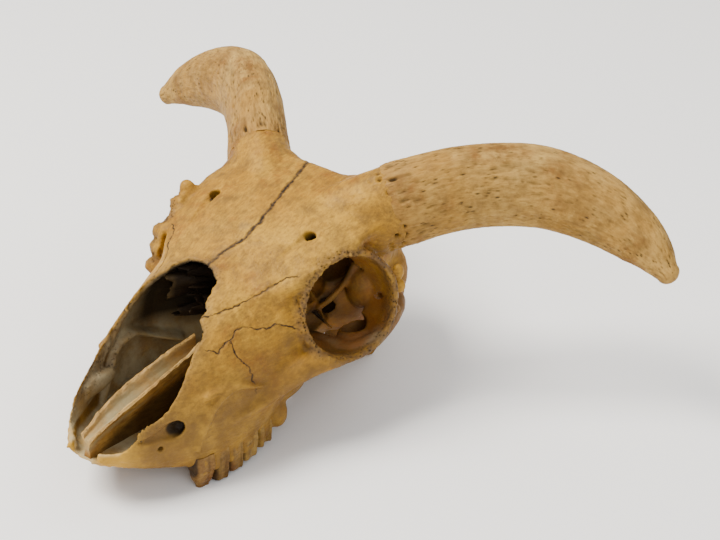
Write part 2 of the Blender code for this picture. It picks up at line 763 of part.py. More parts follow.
def finish(obj, name):
    """Gives the object its material and smooth shading."""
    material = bpy.data.materials.get(name)
    if material is None:
        colour, roughness = FINISHES[name]
        material = bpy.data.materials.new(name)
        material.use_nodes = True
        shader = material.node_tree.nodes["Principled BSDF"]
        shader.inputs["Base Color"].default_value = colour
        shader.inputs["Roughness"].default_value = roughness
        shader.inputs["Metallic"].default_value = 0.0
        material.diffuse_color = colour
    obj.data.materials.clear()
    obj.data.materials.append(material)
    obj.data.shade_smooth()
    obj.data.set_sharp_from_angle(angle=math.radians(40))


def inner_walls():
    """What stands in the hollows: canal walls and shell ledges in the nose, and the orbits' floors."""
    walls = both_sides(rod("infraorbital_canal", CANAL_WALL, sides=12))
    walls += both_sides(ellipsoid("orbit_floor", ORBIT_FLOOR, ORBIT_FLOOR_RADII, divisions=2))
    return walls + both_sides(rod("shell_ledge", SHELL_LEDGE, sides=10, round_end=False))


def foramina():
    """The openings of nerves and vessels, and the foramen magnum."""
    cuts = both_sides(rod("supraorbital_foramen", SUPRAORBITAL, sides=12, round_end=False, up=(0, 1, 0)))
    cuts[1].data.transform(Matrix.Translation(place(*RIGHT_FORAMEN_SHIFT) - place(0, 0, 0)))
    cuts += both_sides(rod("infraorbital_foramen", INFRAORBITAL, sides=12, round_end=False))
    cuts.append(rod("foramen_magnum", (
        ((0, 160, 33), 9.5, 10), ((0, 146, 35), 8.5, 9), ((0, 130, 40), 7, 8),
    ), round_end=False))
    return cuts


def main():
    for obj in list(bpy.data.objects):
        bpy.data.objects.remove(obj)
    skull = blended_masses()
    stumps, cores, rooms = horn_parts()
    rims, hollows = collars()
    combine(skull, stumps + rims + fine_parts(), "UNION")
    combine(skull, hollows + nose_cutters() + [palate_cutter()] + rooms, "DIFFERENCE")
    combine(skull, teeth() + inner_walls(), "UNION")
    combine(skull, foramina() + bone_cuts(), "DIFFERENCE")
    bones = name_bones(loose_pieces(skull))
    part_cheeks(bones)
    for name, bone in bones.items():
        finish(bone, "bone_brown" if name == "occiput" else "bone_tan")
    finish(vomer(), "bone_grey")
    for core in cores:
        finish(core, "horn_core_bone")


if __name__ == "__main__":
    main()
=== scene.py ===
"""Looks of a weathered goat skull: sutured bones, porous horn cores, worn teeth and an open nose.

Each bone is shaped from the solid it replaces, at a finer grain, and parted from the next along flat cuts;
the wavy sutures are drawn on it as grooves and marks. Measures are in millimetres in the skull's own frame: y = 0 at
the first cheek tooth, z = 0 at the level of the tooth row; SkullFrame turns them into the part's frame.
"""

import json
import logging
import math
from dataclasses import dataclass, field
from enum import Enum

import bmesh
import bpy
import numpy as np
from mathutils import Matrix, Vector
from mathutils.bvhtree import BVHTree
from mathutils.kdtree import KDTree

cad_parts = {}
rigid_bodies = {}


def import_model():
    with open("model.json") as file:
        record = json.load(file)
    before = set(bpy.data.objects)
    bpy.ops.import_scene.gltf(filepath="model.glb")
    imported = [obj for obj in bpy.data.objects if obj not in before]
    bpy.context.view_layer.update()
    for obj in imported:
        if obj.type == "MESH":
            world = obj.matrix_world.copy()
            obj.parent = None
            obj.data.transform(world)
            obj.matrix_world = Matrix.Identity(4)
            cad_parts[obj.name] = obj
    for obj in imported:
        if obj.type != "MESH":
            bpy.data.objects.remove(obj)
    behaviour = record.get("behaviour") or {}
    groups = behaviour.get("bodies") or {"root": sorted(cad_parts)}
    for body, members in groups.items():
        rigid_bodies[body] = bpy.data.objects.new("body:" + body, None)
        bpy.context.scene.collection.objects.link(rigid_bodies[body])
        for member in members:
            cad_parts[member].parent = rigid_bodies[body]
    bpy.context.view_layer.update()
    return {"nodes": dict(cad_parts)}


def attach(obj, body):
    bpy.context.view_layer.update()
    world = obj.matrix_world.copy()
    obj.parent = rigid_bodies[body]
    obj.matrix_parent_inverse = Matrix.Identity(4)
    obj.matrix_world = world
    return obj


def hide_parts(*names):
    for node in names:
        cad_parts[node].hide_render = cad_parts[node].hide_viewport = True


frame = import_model()

MM = 0.001
Point = tuple[float, float, float]
logging.basicConfig(level=logging.INFO, format="%(message)s")
LOG = logging.getLogger("skull")


@dataclass(frozen=True)
class SkullFrame:
    """How the skull's own measures lie in the part's frame."""

    middle_x: float = 1.25
    middle_y: float = 74.46
    rest_y: float = 8.0
    rest_tip: Point = (16.0, 127.0, 4.9)

    @property
    def slope(self) -> float:
        """Rise of the floor for each millimetre back along the skull."""
        return self.rest_tip[2] / (self.rest_tip[1] - self.rest_y)

    @property
    def turn(self) -> float:
        """Angle that brings the floor level."""
        return math.atan(self.slope)

    def place(self, x: float, y: float, z: float) -> Vector:
        """A point of the skull in the part's frame, in metres."""
        c, s = math.cos(self.turn), math.sin(self.turn)
        along = y - self.rest_y
        return Vector((
            x - self.middle_x, along * c + z * s + self.rest_y - self.middle_y, z * c - along * s,
        )) * MM

    def measures(self, co: np.ndarray) -> np.ndarray:
        """Points of the part's frame, in metres, as the skull's own millimetres."""
        c, s = math.cos(self.turn), math.sin(self.turn)
        x = co[:, 0] / MM + self.middle_x
        y = co[:, 1] / MM - self.rest_y + self.middle_y
        z = co[:, 2] / MM
        return np.stack([x, y * c - z * s + self.rest_y, y * s + z * c], 1)

    def turned(self, vectors: np.ndarray) -> np.ndarray:
        """Directions of the skull's own frame in the part's frame."""
        c, s = math.cos(self.turn), math.sin(self.turn)
        x, y, z = vectors.T
        return np.stack([x, y * c + z * s, z * c - y * s], 1)

    def floor(self, y: float) -> float:
        """Height of the floor at y, in the skull's own frame."""
        return self.slope * (y - self.rest_y)


SKULL = SkullFrame()


class Grain:
    """Seeded noise over points in millimetres, for a whole mesh at once."""

    @staticmethod
    def _hash(cell: np.ndarray, seed: int) -> np.ndarray:
        """One number from 0 to 1 for each lattice cell.

        Args:
            cell: whole numbers, one row for each point.
            seed: which of the many patterns to draw.
        """
        c = cell.astype(np.int64)
        h = c[..., 0] * 374761393 + c[..., 1] * 668265263 + c[..., 2] * 1274126177 + seed * 974634777
        h = (h ^ (h >> 13)) * 1274126177
        h = h ^ (h >> 16)
        return (h & 0xFFFFFF) / float(0xFFFFFF)

    @classmethod
    def value(cls, points: np.ndarray, size: float, seed: int) -> np.ndarray:
        """Smooth noise from -1 to 1.

        Args:
            points: the points, in millimetres.
            size: size of the swellings, in millimetres.
            seed: which pattern.
        Returns:
            One value for each point.
        """
        p = points / size
        base = np.floor(p)
        f = p - base
        f = f * f * (3 - 2 * f)
        total = np.zeros(len(points))
        for corner in np.ndindex(2, 2, 2):
            offset = np.array(corner)
            weight = np.prod(np.where(offset == 1, f, 1 - f), axis=1)
            total += weight * cls._hash(base + offset, seed)
        return total * 2 - 1

    @classmethod
    def rough(cls, points: np.ndarray, size: float, seed: int, octaves: int = 3) -> np.ndarray:
        """Noise with finer noise on it, from about -1 to 1."""
        total = np.zeros(len(points))
        share = 1.0
        for k in range(octaves):
            total += share * cls.value(points, size / 2 ** k, seed + 17 * k)
            share *= 0.5
        return total / 1.75

    @classmethod
    def pits(cls, points: np.ndarray, size: float, seed: int, keep: float = 0.6) -> np.ndarray:
        """Nearness to scattered pits: 1 in the middle of a pit, 0 at its edge and beyond.

        Args:
            points: the points, in millimetres.
            size: spacing of the pits, in millimetres.
            seed: which pattern.
            keep: share of the cells that hold a pit.
        Returns:
            One value for each point.
        """
        p = points / size
        base = np.floor(p)
        best = np.full(len(points), 9.0)
        for corner in np.ndindex(3, 3, 3):
            cell = base + np.array(corner) - 1
            there = cls._hash(cell, seed + 5) < keep
            middle = cell + np.stack([cls._hash(cell, seed + k) for k in (1, 2, 3)], 1)
            reach = 0.22 + 0.3 * cls._hash(cell, seed + 4)
            away = np.linalg.norm(p - middle, axis=1) / reach
            best = np.minimum(best, np.where(there, away, 9.0))
        return np.clip(1 - best, 0, 1)


class Combine(Enum):
    """How one shape is put with another."""

    JOIN = "UNION"
    CUT = "DIFFERENCE"


class Shaper:
    """Making and changing closed shapes."""

    @staticmethod
    def object(name: str, bm: bmesh.types.BMesh) -> bpy.types.Object:
        """A new object that holds the bmesh, which is freed."""
        mesh = bpy.data.meshes.new(name)
        bm.normal_update()
        bm.to_mesh(mesh)
        bm.free()
        obj = bpy.data.objects.new(name, mesh)
        bpy.context.scene.collection.objects.link(obj)
        return obj

    @classmethod
    def loft(cls, name: str, rings: list[list[Point]], placed: bool = False) -> bpy.types.Object:
        """A closed skin through rings of points.

        Args:
            name: the object's name.
            rings: rings with the same number of points each, in the skull's millimetres.
            placed: the points are in the part's frame already, in metres.
        Returns:
            The new object.
        """
        put = (lambda p: Vector(p)) if placed else (lambda p: SKULL.place(*p))
        bm = bmesh.new()
        verts = [bm.verts.new(put(p)) for p in rings[0]]
        edges = [bm.edges.new((a, b)) for a, b in zip(verts, verts[1:] + verts[:1])]
        for ring in rings[1:]:
            made = bmesh.ops.extrude_edge_only(bm, edges=edges)["geom"]
            fresh = {v for v in made if isinstance(v, bmesh.types.BMVert)}
            verts = [
                next(e.other_vert(v) for e in v.link_edges if e.other_vert(v) in fresh) for v in verts
            ]
            for v, p in zip(verts, ring):
                v.co = put(p)
            edges = [bm.edges.get((a, b)) for a, b in zip(verts, verts[1:] + verts[:1])]
        bmesh.ops.holes_fill(bm, edges=[e for e in bm.edges if e.is_boundary])
        bmesh.ops.triangulate(bm, faces=[f for f in bm.faces if len(f.verts) > 4])
        bmesh.ops.recalc_face_normals(bm, faces=bm.faces)
        return cls.object(name, bm)

    @classmethod
    def ball(cls, name: str, centre: Point, radii: Point, divisions: int = 4) -> bpy.types.Object:
        """A ball stretched to three radii."""
        bm = bmesh.new()
        bmesh.ops.create_icosphere(bm, subdivisions=divisions, radius=1.0)
        stretch = Matrix.Diagonal(Vector(radii) * MM).to_4x4()
        bmesh.ops.transform(bm, matrix=Matrix.Translation(SKULL.place(*centre)) @ stretch, verts=bm.verts)
        return cls.object(name, bm)

    @staticmethod
    def curve(stations: list[tuple], steps: int) -> list[list[float]]:
        """Points and sizes on a smooth curve through the stations.

        Args:
            stations: rows of numbers: a point and its sizes.
            steps: how many points from one station to the next.
        Returns:
            The rows of the curve.
        """
        out = []
        for i in range(len(stations) - 1):
            a, b = stations[max(i - 1, 0)], stations[i]
            c, d = stations[i + 1], stations[min(i + 2, len(stations) - 1)]
            for k in range(steps):
                t = k / steps
                out.append([
                    0.5 * (2 * q + (r - p) * t + (2 * p - 5 * q + 4 * r - s) * t * t
                           + (3 * q - p - 3 * r + s) * t ** 3)
                    for p, q, r, s in zip(a, b, c, d)
                ])
        out.append(list(stations[-1]))
        return out

    @classmethod
    def rod(cls, name: str, stations: list[tuple], up: Point = (0, 0, 1), sides: int = 20,
            steps: int = 4) -> bpy.types.Object:
        """A bent rod with a rounded end.

        Args:
            name: the object's name.
            stations: rows of x, y, z, half-height and half-width.
            up: the direction of the half-height.
            sides: points round the rod.
            steps: rings from one station to the next.
        Returns:
            The new object.
        """
        rows = cls.curve(stations, steps)
        rings = []
        for i, (x, y, z, tall, wide) in enumerate(rows):
            before, after = rows[max(i - 1, 0)], rows[min(i + 1, len(rows) - 1)]
            along = (Vector(after[:3]) - Vector(before[:3])).normalized()
            side = along.cross(Vector(up)).normalized()
            over = side.cross(along)
            rings.append([
                tuple(Vector((x, y, z)) + side * wide * math.cos(a) + over * tall * math.sin(a))
                for a in (2 * math.pi * k / sides for k in range(sides))
            ])
        for share in (0.7, 0.3):
            tip = Vector(rows[-1][:3])
            reach = along * min(rows[-1][3:]) * math.sqrt(1 - share * share)
            rings.append([tuple(tip + reach + (Vector(p) - tip) * share) for p in rings[len(rows) - 1]])
        return cls.loft(name, rings)

    @staticmethod
    def mirrored(obj: bpy.types.Object) -> bpy.types.Object:
        """The object's twin on the other side of the skull."""
        twin = obj.copy()
        twin.data = obj.data.copy()
        bpy.context.scene.collection.objects.link(twin)
        bm = bmesh.new()
        bm.from_mesh(twin.data)
        across = 2 * SKULL.place(0, 0, 0).x
        for vert in bm.verts:
            vert.co.x = across - vert.co.x
        bmesh.ops.reverse_faces(bm, faces=bm.faces)
        bm.to_mesh(twin.data)
        bm.free()
        return twin

    @classmethod
    def both(cls, obj: bpy.types.Object) -> list[bpy.types.Object]:
        """The object and its twin."""
        return [obj, cls.mirrored(obj)]

    @staticmethod
    def join(name: str, objects: list[bpy.types.Object], keep: bool = False) -> bpy.types.Object:
        """One object with the meshes of several, which are removed unless they are kept."""
        bm = bmesh.new()
        for obj in objects:
            bm.from_mesh(obj.data)
        bmesh.ops.remove_doubles(bm, verts=bm.verts, dist=0.002 * MM)
        if not keep:
            for obj in objects:
                bpy.data.objects.remove(obj)
        return Shaper.object(name, bm)

    @staticmethod
    def settled(obj: bpy.types.Object) -> bpy.types.Object:
        """The object with its modifiers applied."""
        graph = bpy.context.evaluated_depsgraph_get()
        mesh = bpy.data.meshes.new_from_object(obj.evaluated_get(graph))
        old = obj.data
        obj.modifiers.clear()
        obj.data = mesh
        bpy.data.meshes.remove(old)
        return obj

    @classmethod
    def swell(cls, obj: bpy.types.Object, depth: float) -> bpy.types.Object:
        """The object with its surface moved out by depth millimetres."""
        modifier = obj.modifiers.new("Swell", "DISPLACE")
        modifier.strength = depth * MM
        modifier.mid_level = 0.0
        return cls.settled(obj)

    @classmethod
    def even(cls, obj: bpy.types.Object, grain: float, smoothing: int) -> bpy.types.Object:
        """The object as an even mesh, with all that overlaps fused.

        Args:
            obj: the object.
            grain: size of the faces, in millimetres.
            smoothing: how many times the surface is smoothed.
        Returns:
            The same object.
        """
        remesh = obj.modifiers.new("Even", "REMESH")
        remesh.mode = "VOXEL"
        remesh.voxel_size = grain * MM
        if smoothing:
            smooth = obj.modifiers.new("Smooth", "SMOOTH")
            smooth.factor = 0.5
            smooth.iterations = smoothing
        return cls.settled(obj)

    @classmethod
    def put(cls, obj: bpy.types.Object, others: list[bpy.types.Object],
            how: Combine) -> bpy.types.Object:
        """The object with the others joined to it or cut from it; the others are removed."""
        group = bpy.data.collections.new("group")
        bpy.context.scene.collection.children.link(group)
        for other in others:
            for owner in list(other.users_collection):
                owner.objects.unlink(other)
            group.objects.link(other)
        modifier = obj.modifiers.new("Combine", "BOOLEAN")
        modifier.operation = how.value
        modifier.operand_type = "COLLECTION"
        modifier.collection = group
        modifier.solver = "MANIFOLD"
        bpy.context.view_layer.update()
        cls.settled(obj)
        for other in list(group.objects):
            bpy.data.objects.remove(other)
        bpy.data.collections.remove(group)
        return obj

    @staticmethod
    def loose(obj: bpy.types.Object) -> list[bpy.types.Object]:
        """The separate bodies of the object, each as its own."""
        bpy.ops.object.select_all(action="DESELECT")
        obj.select_set(True)
        bpy.context.view_layer.objects.active = obj
        bpy.ops.mesh.separate(type="LOOSE")
        return list(bpy.context.selected_objects)

    @staticmethod
    def points(obj: bpy.types.Object) -> np.ndarray:
        """The places of the object's vertices, in metres."""
        co = np.empty(len(obj.data.vertices) * 3, np.float32)
        obj.data.vertices.foreach_get("co", co)
        return co.reshape(-1, 3).astype(np.float64)

    @staticmethod
    def normals(obj: bpy.types.Object) -> np.ndarray:
        """The directions in which the surface faces at the vertices."""
        out = np.empty(len(obj.data.vertices) * 3, np.float32)
        obj.data.vertex_normals.foreach_get("vector", out)
        return out.reshape(-1, 3).astype(np.float64)

    @staticmethod
    def move(obj: bpy.types.Object, co: np.ndarray) -> None:
        """Puts the object's vertices at new places, in metres."""
        obj.data.vertices.foreach_set("co", co.astype(np.float32).ravel())
        obj.data.update()

    @staticmethod
    def store(obj: bpy.types.Object, name: str, values: np.ndarray) -> None:
        """Keeps one number for each vertex, for the material to read."""
        layer = obj.data.attributes.get(name) or obj.data.attributes.new(name, "FLOAT", "POINT")
        layer.data.foreach_set("value", values.astype(np.float32))

    @staticmethod
    def finish(obj: bpy.types.Object, name: str, material: bpy.types.Material, slot: str,
               nodes: tuple[str, ...] = (), crease: float = 50.0) -> bpy.types.Object:
        """Names the piece, gives it its finish and hides the CAD nodes that it stands for.

        Args:
            obj: the piece.
            name: its name.
            material: its finish.
            slot: not used.
            nodes: the CAD nodes that it stands for.
            crease: angle over which an edge stays sharp, in degrees.
        Returns:
            The same object.
        """
        obj.name = name
        obj.data.name = name
        obj.data.materials.clear()
        obj.data.materials.append(material)
        obj.data.shade_smooth()
        obj.data.set_sharp_from_angle(angle=math.radians(crease))
        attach(obj, "root")
        if nodes:
            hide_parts(*nodes)
        triangles = sum(len(p.vertices) - 2 for p in obj.data.polygons)
        LOG.info("%s: %d triangles", name, triangles)
        return obj


def near_line(points: np.ndarray, line: list[Point], up: Point) -> tuple[np.ndarray, np.ndarray]:
    """Distance to a line through points, with its side, and without.

    Args:
        points: the points, in the skull's millimetres.
        line: the corners of the line.
        up: the direction that the surface faces along the line.
    Returns:
        The distance with a sign for the side, and the plain distance.
    """
    best = np.full(len(points), 1e3)
    side = np.full(len(points), 1e3)
    up_vector = np.array(up, float)
    for a, b in zip(line, line[1:]):
        start, along = np.array(a, float), np.array(b, float) - np.array(a, float)
        share = np.clip((points - start) @ along / (along @ along), 0, 1)
        away = points - start - share[:, None] * along
        far = np.linalg.norm(away, axis=1)
        sign = np.sign(away @ np.cross(along, up_vector))
        closer = far < best
        best = np.where(closer, far, best)
        side = np.where(closer, far * sign, side)
    return side, best


class Bones(Enum):
    """The bones that the skull's wall is parted into, with the CAD node that each stands for."""

    CRANIUM_LEFT = "cranium_left"
    CRANIUM_RIGHT = "cranium_right"
    OCCIPUT = "occiput"
    MAXILLA_LEFT = "maxilla_left"
    MAXILLA_RIGHT = "maxilla_right"
    ZYGOMATIC_LEFT = "zygomatic_left"
    ZYGOMATIC_RIGHT = "zygomatic_right"

    @property
    def piece(self) -> str:
        """The piece's name."""
        return self.name.lower() + "_bone"


@dataclass
class NoseShape:
    """The face's outline and the hollow of the nose in it."""

    face: tuple = (
        (-29.0, 9.0, 21.0, 31.0), (-18.0, 19.5, 21.5, 42.0), (-3.0, 26.5, 21.0, 52.0), (10.0, 31.5, 19.0, 62.0),
        (25.0, 34.5, 24.0, 71.0), (40.0, 37.0, 33.0, 76.5), (52.0, 39.0, 43.0, 81.0), (62.0, 38.0, 48.0, 84.0),
        (70.0, 31.0, 52.0, 86.0),
    )
    arch: float = 2.5
    wall: tuple = ((-40.0, 4.5), (-12.0, 5.2), (0.0, 5.8), (8.0, 5.0), (18.0, 2.6), (30.0, 2.0))
    floor: float = 18.2
    taper: tuple = ((-40.0, 1.0), (24.0, 1.0), (40.0, 0.88), (54.0, 0.6), (64.0, 0.25))
    edge_left: tuple = (
        (3.0, 40.5), (8.0, 37.0), (10.0, 29.5), (12.5, 24.5), (14.0, 20.5), (17.5, 18.5),
        (19.5, 12.0), (20.4, 4.0), (20.2, -3.0), (18.8, -9.0), (15.5, -18.0), (8.5, -34.0),
    )
    edge_right: tuple = (
        (-2.0, 41.5), (-10.0, 39.5), (-14.0, 37.0), (-18.5, 32.0), (-22.0, 27.0), (-24.5, 19.0),
        (-25.0, 10.0), (-24.0, 2.0), (-22.0, -5.0), (-17.0, -18.0), (-8.5, -34.0),
    )
    edge_bottom: float = 24.0
    edge_step: float = 0.8
    ring_points: int = 40

    def sizes(self, y: np.ndarray) -> tuple[np.ndarray, np.ndarray, np.ndarray]:
        """Half-width of the hollow at y, the level where it is widest, and its height above that."""
        faces, walls, shares = (np.array(rows) for rows in (self.face, self.wall, self.taper))
        half, level, top = (np.interp(y, faces[:, 0], faces[:, k]) for k in (1, 2, 3))
        wall = np.interp(y, walls[:, 0], walls[:, 1])
        return (half - wall) * np.interp(y, shares[:, 0], shares[:, 1]), level, top - wall - level

    def hollow_ring(self, y: float) -> list[Point]:
        """Outline of the hollow at y: an arch on a flat floor."""
        wide, level, high = (float(size) for size in self.sizes(y))
        ring = []
        for k in range(self.ring_points + 1):
            a = math.pi * k / self.ring_points
            c, s = math.cos(a), math.sin(a)
            z = level + high * s ** (2 / self.arch)
            ring.append((wide * math.copysign(abs(c) ** (2 / self.arch), c), y, max(z, self.floor + 1)))
        return ring + [(-wide * 0.96, y, self.floor), (wide * 0.96, y, self.floor)]

    def hollow(self) -> bpy.types.Object:
        """The hollow as a cutter."""
        return Shaper.loft("nose_hollow", [self.hollow_ring(y) for y in np.arange(-40, 65, 4.0)])

    def outline(self) -> list[tuple[float, float]]:
        """The broken edge of the nose seen from above, with its notches and splinters."""
        corners = list(self.edge_left) + list(reversed(self.edge_right))
        out = []
        for a, b in zip(corners, corners[1:]):
            length = math.dist(a, b)
            count = max(int(length / self.edge_step), 1)
            for k in range(count):
                t = k / count
                out.append((a[0] + (b[0] - a[0]) * t, a[1] + (b[1] - a[1]) * t))
        out.append(corners[-1])
        flat = np.array(out)
        away = np.gradient(flat, axis=0)
        away = np.stack([-away[:, 1], away[:, 0]], 1)
        away /= np.linalg.norm(away, axis=1)[:, None] + 1e-9
        middle = np.array([-1.0, 5.0])
        away *= np.sign(np.sum(away * (flat - middle), 1))[:, None]
        spots = np.concatenate([flat, np.zeros((len(flat), 1))], 1)
        coarse = np.clip(Grain.rough(spots, 6.0, 31), -0.3, 1)
        fine = Grain.rough(spots, 2.4, 37)
        grow = 0.6 + 2.8 * coarse + 1.5 * np.clip(fine, -0.4, 1)
        grow *= np.clip((flat[:, 1] - 4) / 8, 0.05, 1)
        grow[0] = grow[-1] = 0
        return [tuple(p) for p in flat + away * grow[:, None]]

    def opening(self) -> bpy.types.Object:
        """The prism that opens the nose's roof along the broken edge."""
        outline = self.outline()
        return Shaper.loft("nose_opening", [[(x, y, z) for x, y in outline] for z in (self.edge_bottom, 110.0)])

    def near_edge(self, points: np.ndarray) -> np.ndarray:
        """Nearness to the broken edge, from 0 to 1, within 5 mm of it."""
        corners = [(x, y, 0) for x, y in list(self.edge_left) + list(reversed(self.edge_right))]
        flat = points * np.array([1, 1, 0])
        _, far = near_line(flat, corners, (0, 0, 1))
        return np.clip(1 - far / 5.0, 0, 1) * np.clip((points[:, 2] - 26) / 6, 0, 1)

    def painted_shade(self, points: np.ndarray) -> np.ndarray:
        """Painted shade in the dark back of the nose: how deep the points lie in it, from 0 to 1."""
        back = np.clip((points[:, 1] - 21) / 14, 0, 1) * np.clip((points[:, 2] - 36) / 8, 0, 1)
        return back * self.inside(points)

    def walls(self) -> list[bpy.types.Object]:
        """The shell ledges on the side walls of the nose, and the right canal's wall."""
        ledge = [
            (26.5, 4, 19, 2.4, 4.0), (27.5, 9, 30, 2.6, 4.2), (28.8, 14, 38, 2.4, 4.4), (29.8, 23, 41.5, 1.9, 5.4),
            (30.5, 33, 38.0, 1.7, 6.4), (28.0, 42, 34.5, 1.6, 6.6), (24.0, 50, 31.5, 1.6, 6.0),
        ]
        canal = [(21.9, -8, 29.8, 4.6, 2.6), (22.6, -3, 30.4, 4.8, 3.2), (22.9, 2, 30.6, 4.4, 3.4), (23.5, 8, 31, 3, 2.4)]
        left = Shaper.rod("canal_wall", canal)
        right = Shaper.mirrored(left)
        bpy.data.objects.remove(left)
        return Shaper.both(Shaper.rod("shell_ledge", ledge, steps=8)) + [right]

    def inside(self, points: np.ndarray) -> np.ndarray:
        """How far inside the nose's wall the points lie: 1 on the inner surface, 0 on the outer.

        Args:
            points: the points, in the skull's millimetres.
        Returns:
            One value for each point.
        """
        wide, level, high = self.sizes(points[:, 1])
        x = np.abs(points[:, 0]) / np.maximum(wide, 1)
        z = np.clip(points[:, 2] - level, 0, None) / np.maximum(high, 1)
        depth = (1 - (x ** self.arch + z ** self.arch) ** (1 / self.arch)) * wide
        ahead = np.clip((66 - points[:, 1]) / 4, 0, 1) * np.clip((points[:, 2] - self.floor + 1) / 1.0, 0, 1)
        return np.maximum(np.clip((depth + 1.3) / 0.8, 0, 1), self.below_edge(points)) * ahead

    def below_edge(self, points: np.ndarray) -> np.ndarray:
        """1 on the inner side of the wall under the broken edge, 0 on the edge itself and outside."""
        faces = np.array(self.face)
        half, level, top = (np.interp(points[:, 1], faces[:, 0], faces[:, k]) for k in (1, 2, 3))
        left, right = (np.array(sorted((y, abs(x)) for x, y in edge)) for edge in (self.edge_left, self.edge_right))
        edge = np.where(points[:, 0] > 0, *(np.interp(points[:, 1], side[:, 0], side[:, 1]) for side in (left, right)))
        share = np.clip(np.abs(points[:, 0]) / half, 0, 1)
        outer = level + (top - level) * (1 - share ** self.arch) ** (1 / self.arch)
        across = np.clip((edge + 1.1 - np.abs(points[:, 0])) / 0.6, 0, 1)
        height = np.clip((outer - 2.2 - points[:, 2]) / 1.2, 0, 1) * np.clip(points[:, 2] - 22.5, 0, 1)
        return across * height * np.clip((30 - points[:, 1]) / 4, 0, 1)


